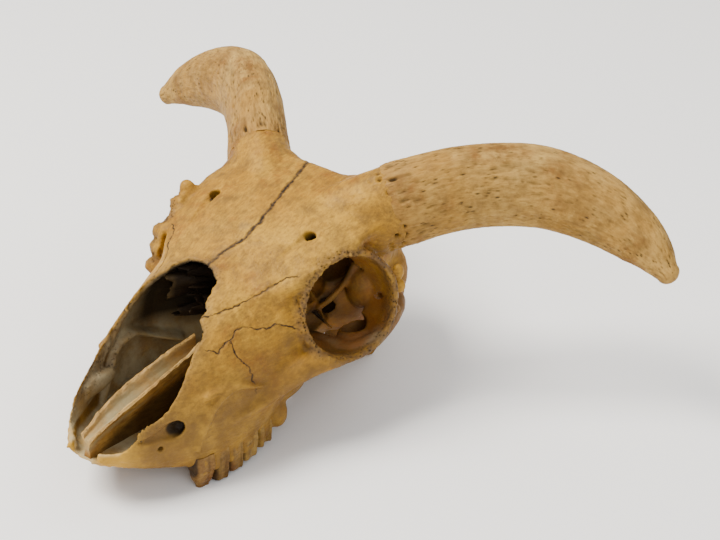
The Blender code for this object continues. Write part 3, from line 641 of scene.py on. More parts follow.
@dataclass
class Orbit:
    """The eye sockets: their raised, beaded rims and what shows inside."""

    centre: Point = (46.7, 75.6, 60.9)
    right_shift: Point = (3.0, -2.0, 0.0)
    faces: Point = (0.92, -0.334, 0.204)
    radius: float = 20.8
    # centres and radii of the painted shade in the recesses at the back of the sockets
    recess_shade_spots: tuple = (
        ((21.0, 92.0, 65.0), 10.5), ((20.0, 76.0, 64.0), 10.0), ((21.0, 91.5, 46.5), 5.6),
        ((21.5, 82.5, 41.5), 6.6), ((38.5, 92.0, 42.5), 4.6),
    )

    ledge: tuple = (
        (24.0, 78.0, 38.0, 1.6, 3.6), (33.0, 78.5, 38.5, 1.8, 4.0), (44.0, 82.0, 39.5, 1.8, 3.6),
        (51.0, 89.0, 43.5, 1.8, 2.4),
    )

    def axis(self) -> np.ndarray:
        """Unit direction in which the left orbit faces."""
        n = np.array(self.faces)
        return n / np.linalg.norm(n)

    def rim_mask(self, points: np.ndarray) -> np.ndarray:
        """Nearness to either rim, from 0 to 1."""
        out = np.zeros(len(points))
        for side in (1, -1):
            flipped = points * np.array([side, 1, 1])
            shift = np.array(self.right_shift) if side < 0 else 0
            rel = flipped - np.array(self.centre) - shift
            depth = -(rel @ self.axis())
            away = np.linalg.norm(rel + depth[:, None] * self.axis(), axis=1)
            near = np.clip(1.3 - np.abs(away - self.radius - 1.4) / 3.0, 0, 1) * np.clip(1.5 - np.abs(depth - 0.8) / 4, 0, 1)
            out = np.maximum(out, near)
        return out

    def inside(self, points: np.ndarray) -> np.ndarray:
        """1 within either socket behind the rim, 0 outside."""
        out = np.zeros(len(points))
        for side in (1, -1):
            flipped = points * np.array([side, 1, 1])
            shift = np.array(self.right_shift) if side < 0 else 0
            rel = flipped - np.array(self.centre) - shift
            depth = -(rel @ self.axis())
            away = np.linalg.norm(rel + depth[:, None] * self.axis(), axis=1)
            out = np.maximum(out, np.clip((21.6 - away) / 1.5, 0, 1) * np.clip((depth - 1) / 4, 0, 1))
        return out

    def crumbled(self, points: np.ndarray) -> np.ndarray:
        """1 on the front and top of either rim, where the bone is worst worn, 0 at its back."""
        shift = np.where(points[:, :1] < 0, np.array([self.right_shift]), 0)
        rel = np.concatenate([np.abs(points[:, :1]), points[:, 1:]], 1) - np.array(self.centre) - shift
        return np.clip((rel @ np.array([0.0, -0.75, 0.65])) / 12 + 0.2, 0, 1)

    def dusty(self, points: np.ndarray) -> np.ndarray:
        """Nearness to the pale ledge on the sockets' floors, from 0 to 1."""
        folded = np.concatenate([np.abs(points[:, :1]), points[:, 1:]], 1)
        _, far = near_line(folded, [row[:3] for row in self.ledge[1:]], (0, 0, 1))
        return np.clip(1.5 - far / 3.6, 0, 0.8)

    def painted_shade(self, points: np.ndarray) -> np.ndarray:
        """Painted shade in the recesses at the back of the sockets: nearness to them, from 0 to 1."""
        folded = np.concatenate([np.abs(points[:, :1]), points[:, 1:]], 1)
        out = np.zeros(len(points))
        for spot, radius in self.recess_shade_spots:
            away = np.linalg.norm(folded - np.array(spot), axis=1)
            out = np.maximum(out, np.clip((radius - away) / 3.5 + 0.35, 0, 1))
        return out * self.inside(points)

    def masses(self) -> list[bpy.types.Object]:
        """The ridges, ledge and spurs in the sockets, and the lumps behind the rims."""
        made = [
            Shaper.rod("socket_ridge", [(30, 99, 66, 1.6, 1.6), (28, 95, 58, 1.5, 1.5), (25, 90, 51, 1.4, 1.4),
                                        (22, 85, 47, 1.2, 1.2)], steps=8),
            Shaper.rod("socket_ledge", list(self.ledge), steps=8),
            Shaper.rod("socket_spur_a", [(15, 88, 51, 1.4, 1.2), (21, 86, 48, 0.9, 0.9), (26, 84, 44.5, 0.7, 0.7)]),
            Shaper.rod("socket_spur_b", [(17, 85, 46, 1.2, 1.1), (23, 86, 42.5, 0.9, 0.9), (29, 86, 40, 0.6, 0.6)]),
            Shaper.ball("socket_bulge", (33, 100.5, 55), (7.5, 6.0, 9.5)),
            Shaper.ball("back_lump_high", (50.5, 101.5, 68.5), (2.4, 2.6, 3.6)),
            Shaper.ball("back_lump_middle", (51.5, 102.0, 62.0), (2.2, 2.4, 3.0)),
            Shaper.ball("back_lump_low", (52.0, 99.5, 52.5), (1.8, 2.0, 2.2)),
        ]
        return [piece for mass in made for piece in Shaper.both(mass)]

    def cutters(self) -> list[bpy.types.Object]:
        """The recess, the hollows and the openings of nerves in the sockets."""
        made = [
            Shaper.ball("recess", (21, 92, 64), (9, 10, 8)),
            Shaper.ball("recess_front", (22, 75, 63), (9, 12, 9)),
            Shaper.ball("recess_low", (17, 84, 55), (7, 9, 6)),
            Shaper.ball("optic_hole", (21.5, 91.5, 46.5), (4.4, 5, 3.4)),
            Shaper.ball("low_hollow", (22, 82, 41), (7, 8, 5.0)),
            Shaper.ball("side_hollow", (37, 90, 43.5), (6, 6, 5)),
            Shaper.rod("fissure", [(45, 98, 57, 1.2, 1.1), (39.5, 101, 52, 1.9, 1.7), (35, 101, 47, 1.1, 1.0)]),
        ]
        return [piece for cut in made for piece in Shaper.both(cut)]


@dataclass
class Openings:
    """The foramina of the face, and the pits round the horn cores."""

    supraorbital: tuple = ((26.0, 71.0, 92.0, 2.4, 2.8), (26.5, 75.0, 82.5, 2.0, 2.3), (26.5, 78, 77, 1.3, 1.5))
    groove: tuple = ((26.0, 71.5, 87.6, 1.9, 2.2), (25.2, 64.0, 84.9, 1.4, 1.9), (24.0, 56.0, 81.4, 0.9, 1.3))
    infraorbital: tuple = (
        (19.0, -18.0, 27.5, 1.2, 1.6), (22.2, -12.0, 29.2, 2.2, 2.0), (24.4, -6.5, 30.4, 3.8, 2.7),
        (24.2, 0.0, 30.6, 2.8, 1.9),
    )
    right_shift: Point = (-1.6, 2.5, 0.0)
    second_pit: tuple = ((24.5, -11.0, 23.5, 1.2, 1.4), (21.5, -9.0, 23.8, 0.8, 1.0))

    def painted_shade(self, points: np.ndarray) -> np.ndarray:
        """Painted shade inside the openings: nearness to their insides, from 0 to 1."""
        folded = np.concatenate([np.abs(points[:, :1]), points[:, 1:]], 1)
        _, above = near_line(folded, [(26.4, 74.0, 85.0), (26.5, 78.0, 77.0)], (0, 0, 1))
        _, below = near_line(folded, [(24.3, -4.0, 30.5), (24.2, 0.0, 30.6)], (0, 0, 1))
        face = np.clip((3.6 - below) / 0.8, 0, 1) * np.clip((26.2 - folded[:, 0]) / 0.5, 0, 1)
        return np.maximum(np.clip(3.0 - above, 0, 1), face)

    def cutters(self) -> list[bpy.types.Object]:
        """All openings, on both sides."""
        rods = (
            ("supraorbital", self.supraorbital, (0, 1, 0)), ("supraorbital_groove", self.groove, (0, 0, 1)),
            ("infraorbital", self.infraorbital, (0, 0, 1)),
            ("second_pit", self.second_pit, (0, 0, 1)),
        )
        made = []
        for name, rows, up in rods:
            pair = Shaper.both(Shaper.rod(name, list(rows), up=up))
            if name.startswith("supraorbital"):
                shift = SKULL.place(*self.right_shift) - SKULL.place(0, 0, 0)
                pair[1].data.transform(Matrix.Translation(shift))
            made += pair
        return made


@dataclass
class Suture:
    """The lines where the bones of the face have grown together."""

    lacrimal_top: tuple = (
        (34.1, 56.7, 77.3), (30.9, 53.8, 76.9), (28.3, 48.4, 74.4), (24.7, 42.4, 71.4), (21.9, 35.6, 69.1),
        (19.3, 28.0, 67.2), (14.5, 21.1, 65.9),
    )
    lacrimal_front: tuple = (
        (37.4, 53.6, 56.2), (36.3, 50.6, 58.4), (33.9, 45.3, 60.2), (30.7, 37.6, 60.3), (26.9, 31.8, 62.2),
        (26.2, 28.6, 61.0), (26.5, 25.4, 58.4), (25.6, 21.8, 57.3), (25.5, 19.0, 55.4), (22.9, 16.6, 56.7),
    )
    cheek: tuple = (
        (26.5, 25.4, 58.4), (29.1, 25.5, 54.0), (31.3, 27.1, 50.1), (32.7, 29.1, 47.9), (33.8, 30.3, 44.2),
        (34.3, 30.4, 41.6), (35.1, 31.4, 35.9),
    )
    midline: tuple = (
        (-9.5, 119.0, 0.0), (-6.0, 110.0, 0.0), (-2.4, 100.2, 0.0), (1.1, 83.6, 0.0), (4.2, 67.6, 0.0),
        (4.4, 58.4, 0.0), (1.0, 50.2, 0.0), (0.0, 41.2, 0.0),
    )
    midline_share: float = 0.5
    crown: tuple = ((0, 120, 97), (14, 118, 94), (26, 121, 84), (30, 122, 72), (33, 118, 60))
    temple: tuple = ((33, 104, 50), (33, 118, 56), (30, 132, 60), (22, 142, 62))
    waver: float = 0.9

    def lines(self) -> list[tuple[tuple, Point]]:
        """Each line of both sides with the way its surface faces."""
        out = []
        for line, up in (
            (self.lacrimal_top, (0.6, -0.3, 0.7)), (self.lacrimal_front, (0.8, -0.3, 0.5)),
            (self.cheek, (0.9, -0.3, 0.2)), (self.crown, (0.3, 0.6, 0.8)), (self.temple, (0.9, 0.2, 0.3)),
        ):
            out.append((line, up))
            out.append((tuple((-x, y, z) for x, y, z in line), (-up[0], up[1], up[2])))
        return out

    def distances(self, points: np.ndarray) -> tuple[np.ndarray, np.ndarray]:
        """Distance to the nearest line with its side, and without, after the lines waver."""
        swing = np.stack([Grain.rough(points, 3.2, 50 + k) for k in range(3)], 1) * self.waver
        swing += np.stack([Grain.value(points, 1.3, 60 + k) for k in range(3)], 1) * self.waver * 0.45
        moved = points + swing
        above = np.where(points[:, 2] > 66, self.midline_share, 1e3)
        side, far = (above * away for away in near_line(moved * np.array([1, 1, 0]), list(self.midline), (0, 0, 1)))
        for line, up in self.lines():
            s, d = near_line(moved, list(line), up)
            side = np.where(d < far, s, side)
            far = np.minimum(far, d)
        return side, far


@dataclass
class BoneWall:
    """The skull's own bone: shaped finely from the solids, then parted into its bones."""

    nose: NoseShape = field(default_factory=NoseShape)
    orbit: Orbit = field(default_factory=Orbit)
    openings: Openings = field(default_factory=Openings)
    suture: Suture = field(default_factory=Suture)
    blend_grain: float = 0.8
    blend_smoothing: int = 14
    grain: float = 0.64
    swell: float = 0.22
    splinters: tuple = (
        ((-10.0, -22.0, 27.0), (-11.0, -30.5, 26.0)), ((-7.0, -24.0, 21.5), (-8.0, -32.0, 21.0)),
        ((-2.0, -25.0, 18.5), (-2.5, -31.0, 18.5)), ((3.5, -25.0, 18.5), (4.5, -32.0, 18.0)),
        ((8.5, -22.0, 20.0), (9.5, -30.0, 20.5)),
    )
    horn_seam: tuple = (
        (36.6, 109.6, 106.4), (45.8, 107.3, 102.0), (49.6, 105.9, 92.5), (46.5, 108.6, 76.7), (36.0, 118.0, 74.0),
    )

    def masses(self) -> list[bpy.types.Object]:
        """Crests and swellings that are joined to the solids before they are blended."""
        made = Shaper.both(Shaper.rod("facial_crest", [(33, 20, 27, 1.5, 1.5), (36, 34, 30, 2.6, 2.4),
                                                        (41, 50, 36, 2.8, 2.4), (47, 64, 41.5, 2.2, 2.2)]))
        made += Shaper.both(Shaper.rod("temporal_line", [(38, 100, 74, 2, 2), (33, 118, 76, 2.2, 2.2),
                                                         (26, 134, 72, 2.4, 2.2), (14, 145, 66, 2, 2)]))
        made.append(Shaper.rod("nuchal_crest", [(-26, 140, 60, 2.2, 2.2), (-14, 148, 66, 2.4, 2.4),
                                                (0, 151, 67.5, 2.8, 2.8), (14, 148, 66, 2.4, 2.4),
                                                (26, 140, 60, 2.2, 2.2)]))
        for (x, y, z), (tip_x, tip_y, tip_z) in self.splinters:
            made.append(Shaper.rod("splinter", [(x, y, z, 1.8, 1.5), (tip_x, tip_y, tip_z, 0.6, 0.7)]))
        return made

    def copied(self, name: str) -> bpy.types.Object:
        """A closed copy of a CAD node, a little swollen so that it fuses with its neighbours."""
        bm = bmesh.new()
        bm.from_mesh(frame["nodes"][name].data)
        bmesh.ops.remove_doubles(bm, verts=bm.verts, dist=0.002 * MM)
        obj = Shaper.object("copy_" + name, bm)
        if name.startswith("maxilla"):
            Shaper.put(obj, [self.tooth_block()], Combine.CUT)
        return Shaper.swell(obj, self.swell)

    def tooth_block(self) -> bpy.types.Object:
        """What takes the solid's own teeth away below the gum."""
        foot = ((-50, -8), (50, -8), (50, 54), (-50, 54))
        return Shaper.loft("tooth_block", [
            [(x, y, SKULL.floor(y) + z) for x, y in foot] for z in (-3.0, 6.0)
        ])

    def blended(self) -> bpy.types.Object:
        """The solids and the masses as one even skin."""
        skin = Shaper.join("skin", [self.copied(bone.value) for bone in Bones] + self.masses())
        Shaper.even(skin, self.blend_grain, self.blend_smoothing)
        return Shaper.swell(skin, -self.swell * 0.5)

    def cut(self, skin: bpy.types.Object) -> bpy.types.Object:
        """The skin with its crisp openings, as an even mesh again."""
        Shaper.put(skin, [self.nose.hollow(), self.nose.opening()] + self.orbit.cutters(), Combine.CUT)
        Shaper.put(skin, self.nose.walls() + self.orbit.masses(), Combine.JOIN)
        Shaper.put(skin, self.openings.cutters(), Combine.CUT)
        Shaper.even(skin, self.grain, 2)
        bodies = sorted(Shaper.loose(skin), key=lambda obj: len(obj.data.vertices), reverse=True)
        for scrap in bodies[1:]:
            bpy.data.objects.remove(scrap)
        return bodies[0]

    def horn_mask(self, points: np.ndarray) -> np.ndarray:
        """Nearness to the seams where the horn cores stand on the frontals, from 0 to 1."""
        folded = np.concatenate([np.abs(points[:, :1]), points[:, 1:]], 1)
        _, far = near_line(folded, list(self.horn_seam), (0, 0, 1))
        return np.clip(1.7 - far / 6.0, 0, 1)

    def weather(self, skin: bpy.types.Object) -> bpy.types.Object:
        """Roughens the skin: swellings, fine grain, pits, beaded rims and suture grooves."""
        co, normals = Shaper.points(skin), Shaper.normals(skin)
        spots = SKULL.measures(co)
        rim = self.orbit.rim_mask(spots)
        horn = self.horn_mask(spots)
        _, far = self.suture.distances(spots)
        near = np.exp(-(far / 0.45) ** 2)
        ruffle = np.clip(1 - far / 2.5, 0, 1)
        back = np.clip((spots[:, 1] - 118) / 12, 0, 1)
        torn = self.nose.near_edge(spots)
        height = 0.30 * Grain.rough(spots, 9.0, 3) + (0.10 + 0.12 * back) * Grain.rough(spots, 2.4, 5)
        worn = rim * self.orbit.crumbled(spots)
        height += rim * (0.5 * Grain.rough(spots, 2.4, 7) - 1.0 * Grain.pits(spots, 2.4, 9))
        height += worn * (0.8 * Grain.rough(spots, 1.7, 21) - 1.5 * Grain.pits(spots, 2.0, 23, 0.75))
        front = np.clip((-14 - spots[:, 1]) / 8, 0, 1)
        height += (torn * 0.4 + front * 0.6) * Grain.rough(spots * np.array([1, 1, 1.6]), 2.2, 17)
        height -= near * 0.3
        height += ruffle * 0.16 * Grain.value(spots, 1.4, 11)
        height -= horn * 2.4 * Grain.pits(spots, 3.2, 13, 0.6)
        height -= 0.25 * Grain.pits(spots, 4.2, 15, 0.3)
        Shaper.move(skin, co + normals * height[:, None] * MM)
        return skin

    @staticmethod
    def block(name: str, outline: list[Point], way: Point) -> bpy.types.Object:
        """A prism from an outline along a direction, to part the bones with."""
        return Shaper.loft(name, [outline, [tuple(np.array(p) + np.array(way)) for p in outline]])

    def parted(self, skin: bpy.types.Object) -> dict[Bones, bpy.types.Object]:
        """The skin as separate bones, which fit each other face to face."""

        def split(obj: bpy.types.Object, make: callable) -> tuple[bpy.types.Object, bpy.types.Object]:
            """What lies within the block that make gives, and what lies outside it."""
            inner = obj.copy()
            inner.data = obj.data.copy()
            bpy.context.scene.collection.objects.link(inner)
            modifier = inner.modifiers.new("Part", "BOOLEAN")
            modifier.operation = "INTERSECT"
            modifier.solver = "MANIFOLD"
            block = make()
            modifier.object = block
            bpy.context.view_layer.update()
            Shaper.settled(inner)
            return inner, Shaper.put(obj, [block], Combine.CUT)

        def nape() -> bpy.types.Object:
            return self.block("nape", [(x, y, z) for x, y, z in (
                (-80, 121, -5), (80, 121, -5), (80, 140, 105), (-80, 140, 105))], (0, 60, 0))

        def left() -> bpy.types.Object:
            return self.block("left", [(0.03, -60, -20), (0.03, 190, -20), (0.03, 190, 130), (0.03, -60, 130)],
                              (90, 0, 0))

        point, normal = np.array((19.5, 28.0, 67.0)), np.array((-26.4, 16.2, 21.6))
        out: dict[Bones, bpy.types.Object] = {}
        out[Bones.OCCIPUT], rest = split(skin, nape)
        for side, half in zip((1, -1), split(rest, left)):
            def upper(side: int = side) -> bpy.types.Object:
                corners = [(-20, -60), (110, -60), (110, 170), (-20, 170)]
                flat = [(x, y, point[2] - (normal[0] * (x - point[0]) + normal[1] * (y - point[1])) / normal[2])
                        for x, y in corners]
                return self.block("upper", [(side * x, y, z) for x, y, z in flat], (0, 0, 250))

            def cheek(side: int = side) -> bpy.types.Object:
                outline = ((25.5, 57.0), (34.5, 26.0), (130.0, 26.0), (130.0, 57.0))
                return self.block("cheek", [(side * 32.0, y, z) for y, z in outline], (side * 60, 0, 0))

            cranium, lower = split(half, upper)
            zygomatic, maxilla = split(lower, cheek)
            names = (Bones.CRANIUM_LEFT, Bones.MAXILLA_LEFT, Bones.ZYGOMATIC_LEFT) if side > 0 else (
                Bones.CRANIUM_RIGHT, Bones.MAXILLA_RIGHT, Bones.ZYGOMATIC_RIGHT)
            out.update(zip(names, (cranium, maxilla, zygomatic)))
        return out

    def relief(self, skin: bpy.types.Object) -> tuple[KDTree, np.ndarray]:
        """How far the skin stands proud of its own smoothed shape, with a tree to look it up in."""
        smooth = skin.copy()
        smooth.data = skin.data.copy()
        bpy.context.scene.collection.objects.link(smooth)
        modifier = smooth.modifiers.new("Smooth", "SMOOTH")
        modifier.factor = 0.5
        modifier.iterations = 24
        Shaper.settled(smooth)
        co, soft, normals = Shaper.points(skin), Shaper.points(smooth), Shaper.normals(smooth)
        bpy.data.objects.remove(smooth)
        proud = np.sum((co - soft) * normals, axis=1) / MM
        tree = KDTree(len(co))
        for i, c in enumerate(co):
            tree.insert(c, i)
        tree.balance()
        return tree, proud

    def dress(self, pieces: dict[Bones, bpy.types.Object], tree: KDTree, proud: np.ndarray,
              finishes: dict[str, bpy.types.Material]) -> None:
        """Gives each bone what its material reads, and its name."""
        for bone, obj in pieces.items():
            co = Shaper.points(obj)
            spots = SKULL.measures(co)
            side, far = self.suture.distances(spots)
            Shaper.store(obj, "suture", np.clip(side, -4, 4))
            Shaper.store(obj, "near_suture", np.clip(1 - far / 3.5, 0, 1))
            Shaper.store(obj, "proud", np.array([proud[tree.find(c)[1]] for c in co]))
            Shaper.store(obj, "inner", np.maximum(self.nose.inside(spots), self.orbit.dusty(spots)))
            Shaper.store(obj, "socket", self.orbit.inside(spots))
            # painted shade: darkness of the nose's back, the sockets' recesses and the foramina, for the material to
            # lay in
            dark = np.max([self.nose.painted_shade(spots), self.orbit.painted_shade(spots), self.openings.painted_shade(spots)], axis=0)
            Shaper.store(obj, "painted_shade", dark)
            Shaper.store(obj, "bleached", np.clip((-16 - spots[:, 1]) / 7, 0, 1))
            # painted shade on the lower face: darker towards the bottom
            Shaper.store(obj, "lower_shade", np.clip((60 - spots[:, 2]) / 24, 0, 1))
            rough = 0.3 * self.horn_mask(spots) + self.orbit.rim_mask(spots) + 0.7 * self.nose.near_edge(spots)
            Shaper.store(obj, "porous", np.clip(rough, 0, 1))
            slot = "bone_brown" if bone is Bones.OCCIPUT else "bone_tan"
            Shaper.finish(obj, bone.piece, finishes[slot], slot, (bone.value,))

    def make(self, finishes: dict[str, bpy.types.Material]) -> None:
        """Builds and dresses all bones of the wall."""
        skin = self.weather(self.cut(self.blended()))
        LOG.info("bone wall: %d vertices", len(skin.data.vertices))
        tree, proud = self.relief(skin)
        self.dress(self.parted(skin), tree, proud, finishes)


@dataclass
class HornCores:
    """The two bony cores that the horns grew on: porous, and grooved along their length."""

    stations: tuple = (
        (22.0, 98.0, 80.0, 18.0, 15.0), (39.5, 114.0, 91.0, 18.0, 13.6), (60.0, 134.0, 98.8, 17.8, 12.8),
        (84.0, 152.0, 100.6, 17.2, 12.2), (108.0, 161.0, 95.0, 15.0, 11.0), (128.0, 163.5, 86.0, 10.8, 8.5),
        (141.5, 162.0, 77.5, 5.0, 4.5),
    )
    up: Point = (0.25, 0.35, 0.9)
    right_shift: Point = (2.5, 0.0, -1.5)
    steps: int = 42
    sides: int = 200

    def core(self) -> bpy.types.Object:
        """The left core, with its long pores and grooves."""
        rows = Shaper.curve(list(self.stations), self.steps)[int(self.steps * 0.93):]
        rings, along, length = [], [], 0.0
        for i, (x, y, z, tall, wide) in enumerate(rows):
            before, after = rows[max(i - 1, 0)], rows[min(i + 1, len(rows) - 1)]
            way = (Vector(after[:3]) - Vector(before[:3])).normalized()
            side = way.cross(Vector(self.up)).normalized()
            over = side.cross(way)
            flare = 1 + 0.015 * math.exp(-((length - 4) / 6.0) ** 2) - 0.02 * math.exp(-(length / 1.6) ** 2)
            rings.append([
                Vector((x, y, z)) + (side * wide * math.cos(a) + over * tall * math.sin(a)) * flare
                for a in (2 * math.pi * k / self.sides for k in range(self.sides))
            ])
            along.append(length)
            length += (Vector(after[:3]) - Vector((x, y, z))).length
        tip, last = Vector(rows[-1][:3]), rings[-1]
        for k in range(1, 9):
            share = math.cos(math.pi / 2 * k / 9)
            rings.append([tip + way * rows[-1][4] * math.sin(math.pi / 2 * k / 9) + (p - tip) * share for p in last])
            along.append(length + k * 0.5)
        spots = np.array([[tuple(p) for p in ring] for ring in rings])
        middles = spots.mean(axis=1, keepdims=True)
        out = spots - middles
        out /= np.linalg.norm(out, axis=2, keepdims=True)
        radius = np.linalg.norm(spots - middles, axis=2).mean(axis=1)
        angle = np.arange(self.sides) * 2 * math.pi / self.sides
        far = np.broadcast_to(np.array(along)[:, None], spots.shape[:2])
        round_ = np.stack([far, np.cos(angle)[None, :] * radius[:, None], np.sin(angle)[None, :] * radius[:, None]], 2)
        grain = round_.reshape(-1, 3)
        long_pores = grain * np.array([0.28, 1, 1])
        long_grooves = grain * np.array([0.06, 1, 1])
        old = np.clip(1 - grain[:, 0] / 130, 0.15, 1)
        height = 0.5 * Grain.rough(long_grooves, 3.2, 71) + 0.25 * Grain.rough(grain, 12.0, 73)
        height -= 0.7 * (0.4 + 0.6 * old) * Grain.pits(long_pores, 1.7, 75, 0.6)
        height -= 0.45 * (0.5 + 0.5 * old) * Grain.pits(long_pores, 1.1, 83, 0.5)
        height -= 2.2 * np.clip(1.2 - grain[:, 0] / 12, 0, 1) * Grain.pits(long_pores * np.array([1.8, 1, 1]), 3.4, 77, 0.6)
        height += 0.5 * np.clip(1 - grain[:, 0] / 9, 0, 1) * Grain.rough(grain, 4.0, 81)
        height += 0.12 * Grain.rough(grain, 1.3, 79)
        spots = spots + out * height.reshape(spots.shape[:2])[:, :, None]
        core = Shaper.loft("horn_core", [[tuple(p) for p in ring] for ring in spots.tolist()])
        tree = KDTree(len(grain))
        flat = spots.reshape(-1, 3)
        for i, p in enumerate(flat):
            tree.insert(SKULL.place(*p), i)
        tree.balance()
        nearest = [tree.find(v.co)[1] for v in core.data.vertices]
        self.grain_of(core, grain[nearest], height[nearest])
        return core

    @staticmethod
    def grain_of(core: bpy.types.Object, grain: np.ndarray, height: np.ndarray) -> None:
        """Keeps the way along and round the core, and the depth of its pores, for the material."""
        layer = core.data.attributes.new("grain", "FLOAT_VECTOR", "POINT")
        layer.data.foreach_set("vector", (grain * MM).astype(np.float32).ravel())
        Shaper.store(core, "proud", height)
        Shaper.store(core, "reddish", 0.35 * np.clip(1 - grain[:, 0] / 16, 0, 1))

    def make(self, finishes: dict[str, bpy.types.Material]) -> None:
        """Both cores."""
        left = self.core()
        right = Shaper.mirrored(left)
        shift = SKULL.place(*self.right_shift) - SKULL.place(0, 0, 0)
        right.data.transform(Matrix.Translation(shift))
        for obj, side in ((left, "left"), (right, "right")):
            name = "horn_core_" + side
            Shaper.finish(obj, name + "_bone", finishes["horn_core_bone"], "horn_core_bone", (name,))


@dataclass
class Teeth:
    """The cheek teeth, with lobed crowns, upright ribs and worn tips."""

    sizes: tuple = (
        (9.5, 4.0, 0.42, 0.0), (6.5, 4.6, 0.95, 0.8), (8.0, 5.2, 0.97, 1.7), (9.5, 6.0, 0.97, 2.5),
        (11.0, 6.2, 0.97, 3.1),
    )
    start: float = 3.5
    row_start: float = 30.5
    row_bow: float = 3.2
    root_top: float = 15.0
    count: int = 72
    levels: int = 22

    def row_x(self, y: float) -> float:
        """Outer side of the row at y."""
        along = (y - self.start) / sum(size[0] for size in self.sizes)
        return self.row_start + self.row_bow * math.sin(math.pi * min(max(along, 0), 1) * 0.9)

    def ring(self, y: float, length: float, half: float, z: float, spread: float, turn: float) -> list[Point]:
        """Outline of a crown at one height."""
        lobes = 0.2 if length > 10 else 0.07
        points = []
        for k in range(self.count):
            a = 2 * math.pi * (k + 0.5) / self.count
            c, s = math.cos(a), math.sin(a)
            along = 0.5 * length * math.copysign(abs(s) ** 0.62, s)
            waist = 1 - lobes * (1 + math.cos(4 * math.pi * along / length)) * 0.9
            rib = 0.32 * abs(math.cos(3 * math.pi * along / length + 0.4)) ** 3 if c > 0 else 0
            across = half * math.copysign(abs(c) ** 0.6, c) * waist + rib
            lean = turn * (z - 8) * 0.06
            points.append((
                self.row_x(y + along) - half + across * spread, y + along + lean, z + SKULL.floor(y + along),
            ))
        return points

    def tooth(self, k: int, y: float) -> bpy.types.Object:
        """One tooth, standing on the floor."""
        length, half, tip, lift = self.sizes[k]
        rings = []
        for i in range(self.levels + 1):
            z = lift + (self.root_top - lift) * (1 - i / self.levels)
            worn = (lift, lift + 1.0, lift + 3.5, 9 + lift / 2, 15)
            swell = float(np.interp(z, worn, (tip * 0.94, tip, 0.5 + tip / 2, 1.0, 0.9)))
            wide = (length + 0.5) * (0.25 + swell * 0.75)
            rings.append(self.ring(y + length / 2, wide, half * 0.98, z, swell, k % 2 - 0.5))
        return Shaper.loft(f"tooth_{k}", rings)

    def make(self, finishes: dict[str, bpy.types.Material]) -> None:
        """Both rows."""
        y, row = self.start, []
        for k, size in enumerate(self.sizes):
            row.append(self.tooth(k, y))
            y += size[0]
        left = Shaper.join("teeth", row)
        co, normals = Shaper.points(left), Shaper.normals(left)
        spots = SKULL.measures(co)
        fibre = spots * np.array([1, 1, 0.2])
        height = 0.16 * Grain.rough(fibre, 1.2, 91) + 0.1 * Grain.value(spots, 2.5, 93)
        height *= np.clip((spots[:, 2] - SKULL.floor(0) - 0.6) / 1.0, 0, 1)
        ends = self.start + np.cumsum([0.0] + [size[0] for size in self.sizes])
        between = np.min(np.abs(spots[:, 1:2] - ends[None, :]), axis=1)
        lobes = np.abs(np.sin(np.pi * (spots[:, 1] - self.start) / 5.4))
        # painted shade between the teeth and in the folds of their lobes, along with brown cement there
        cleft_shade = np.clip(1 - between / 1.1, 0, 1) + 0.5 * np.clip(1 - lobes / 0.35, 0, 1)
        Shaper.move(left, co + normals * height[:, None] * MM)
        Shaper.store(left, "proud", height - np.clip(cleft_shade, 0, 1))
        Shaper.store(left, "reddish", np.clip((ends[1] + 0.5 - spots[:, 1]) / 1.0, 0, 0.4))
        right = Shaper.mirrored(left)
        for obj, side in ((left, "left"), (right, "right")):
            Shaper.finish(obj, "cheek_teeth_" + side, finishes["enamel"], "bone_tan", crease=35)


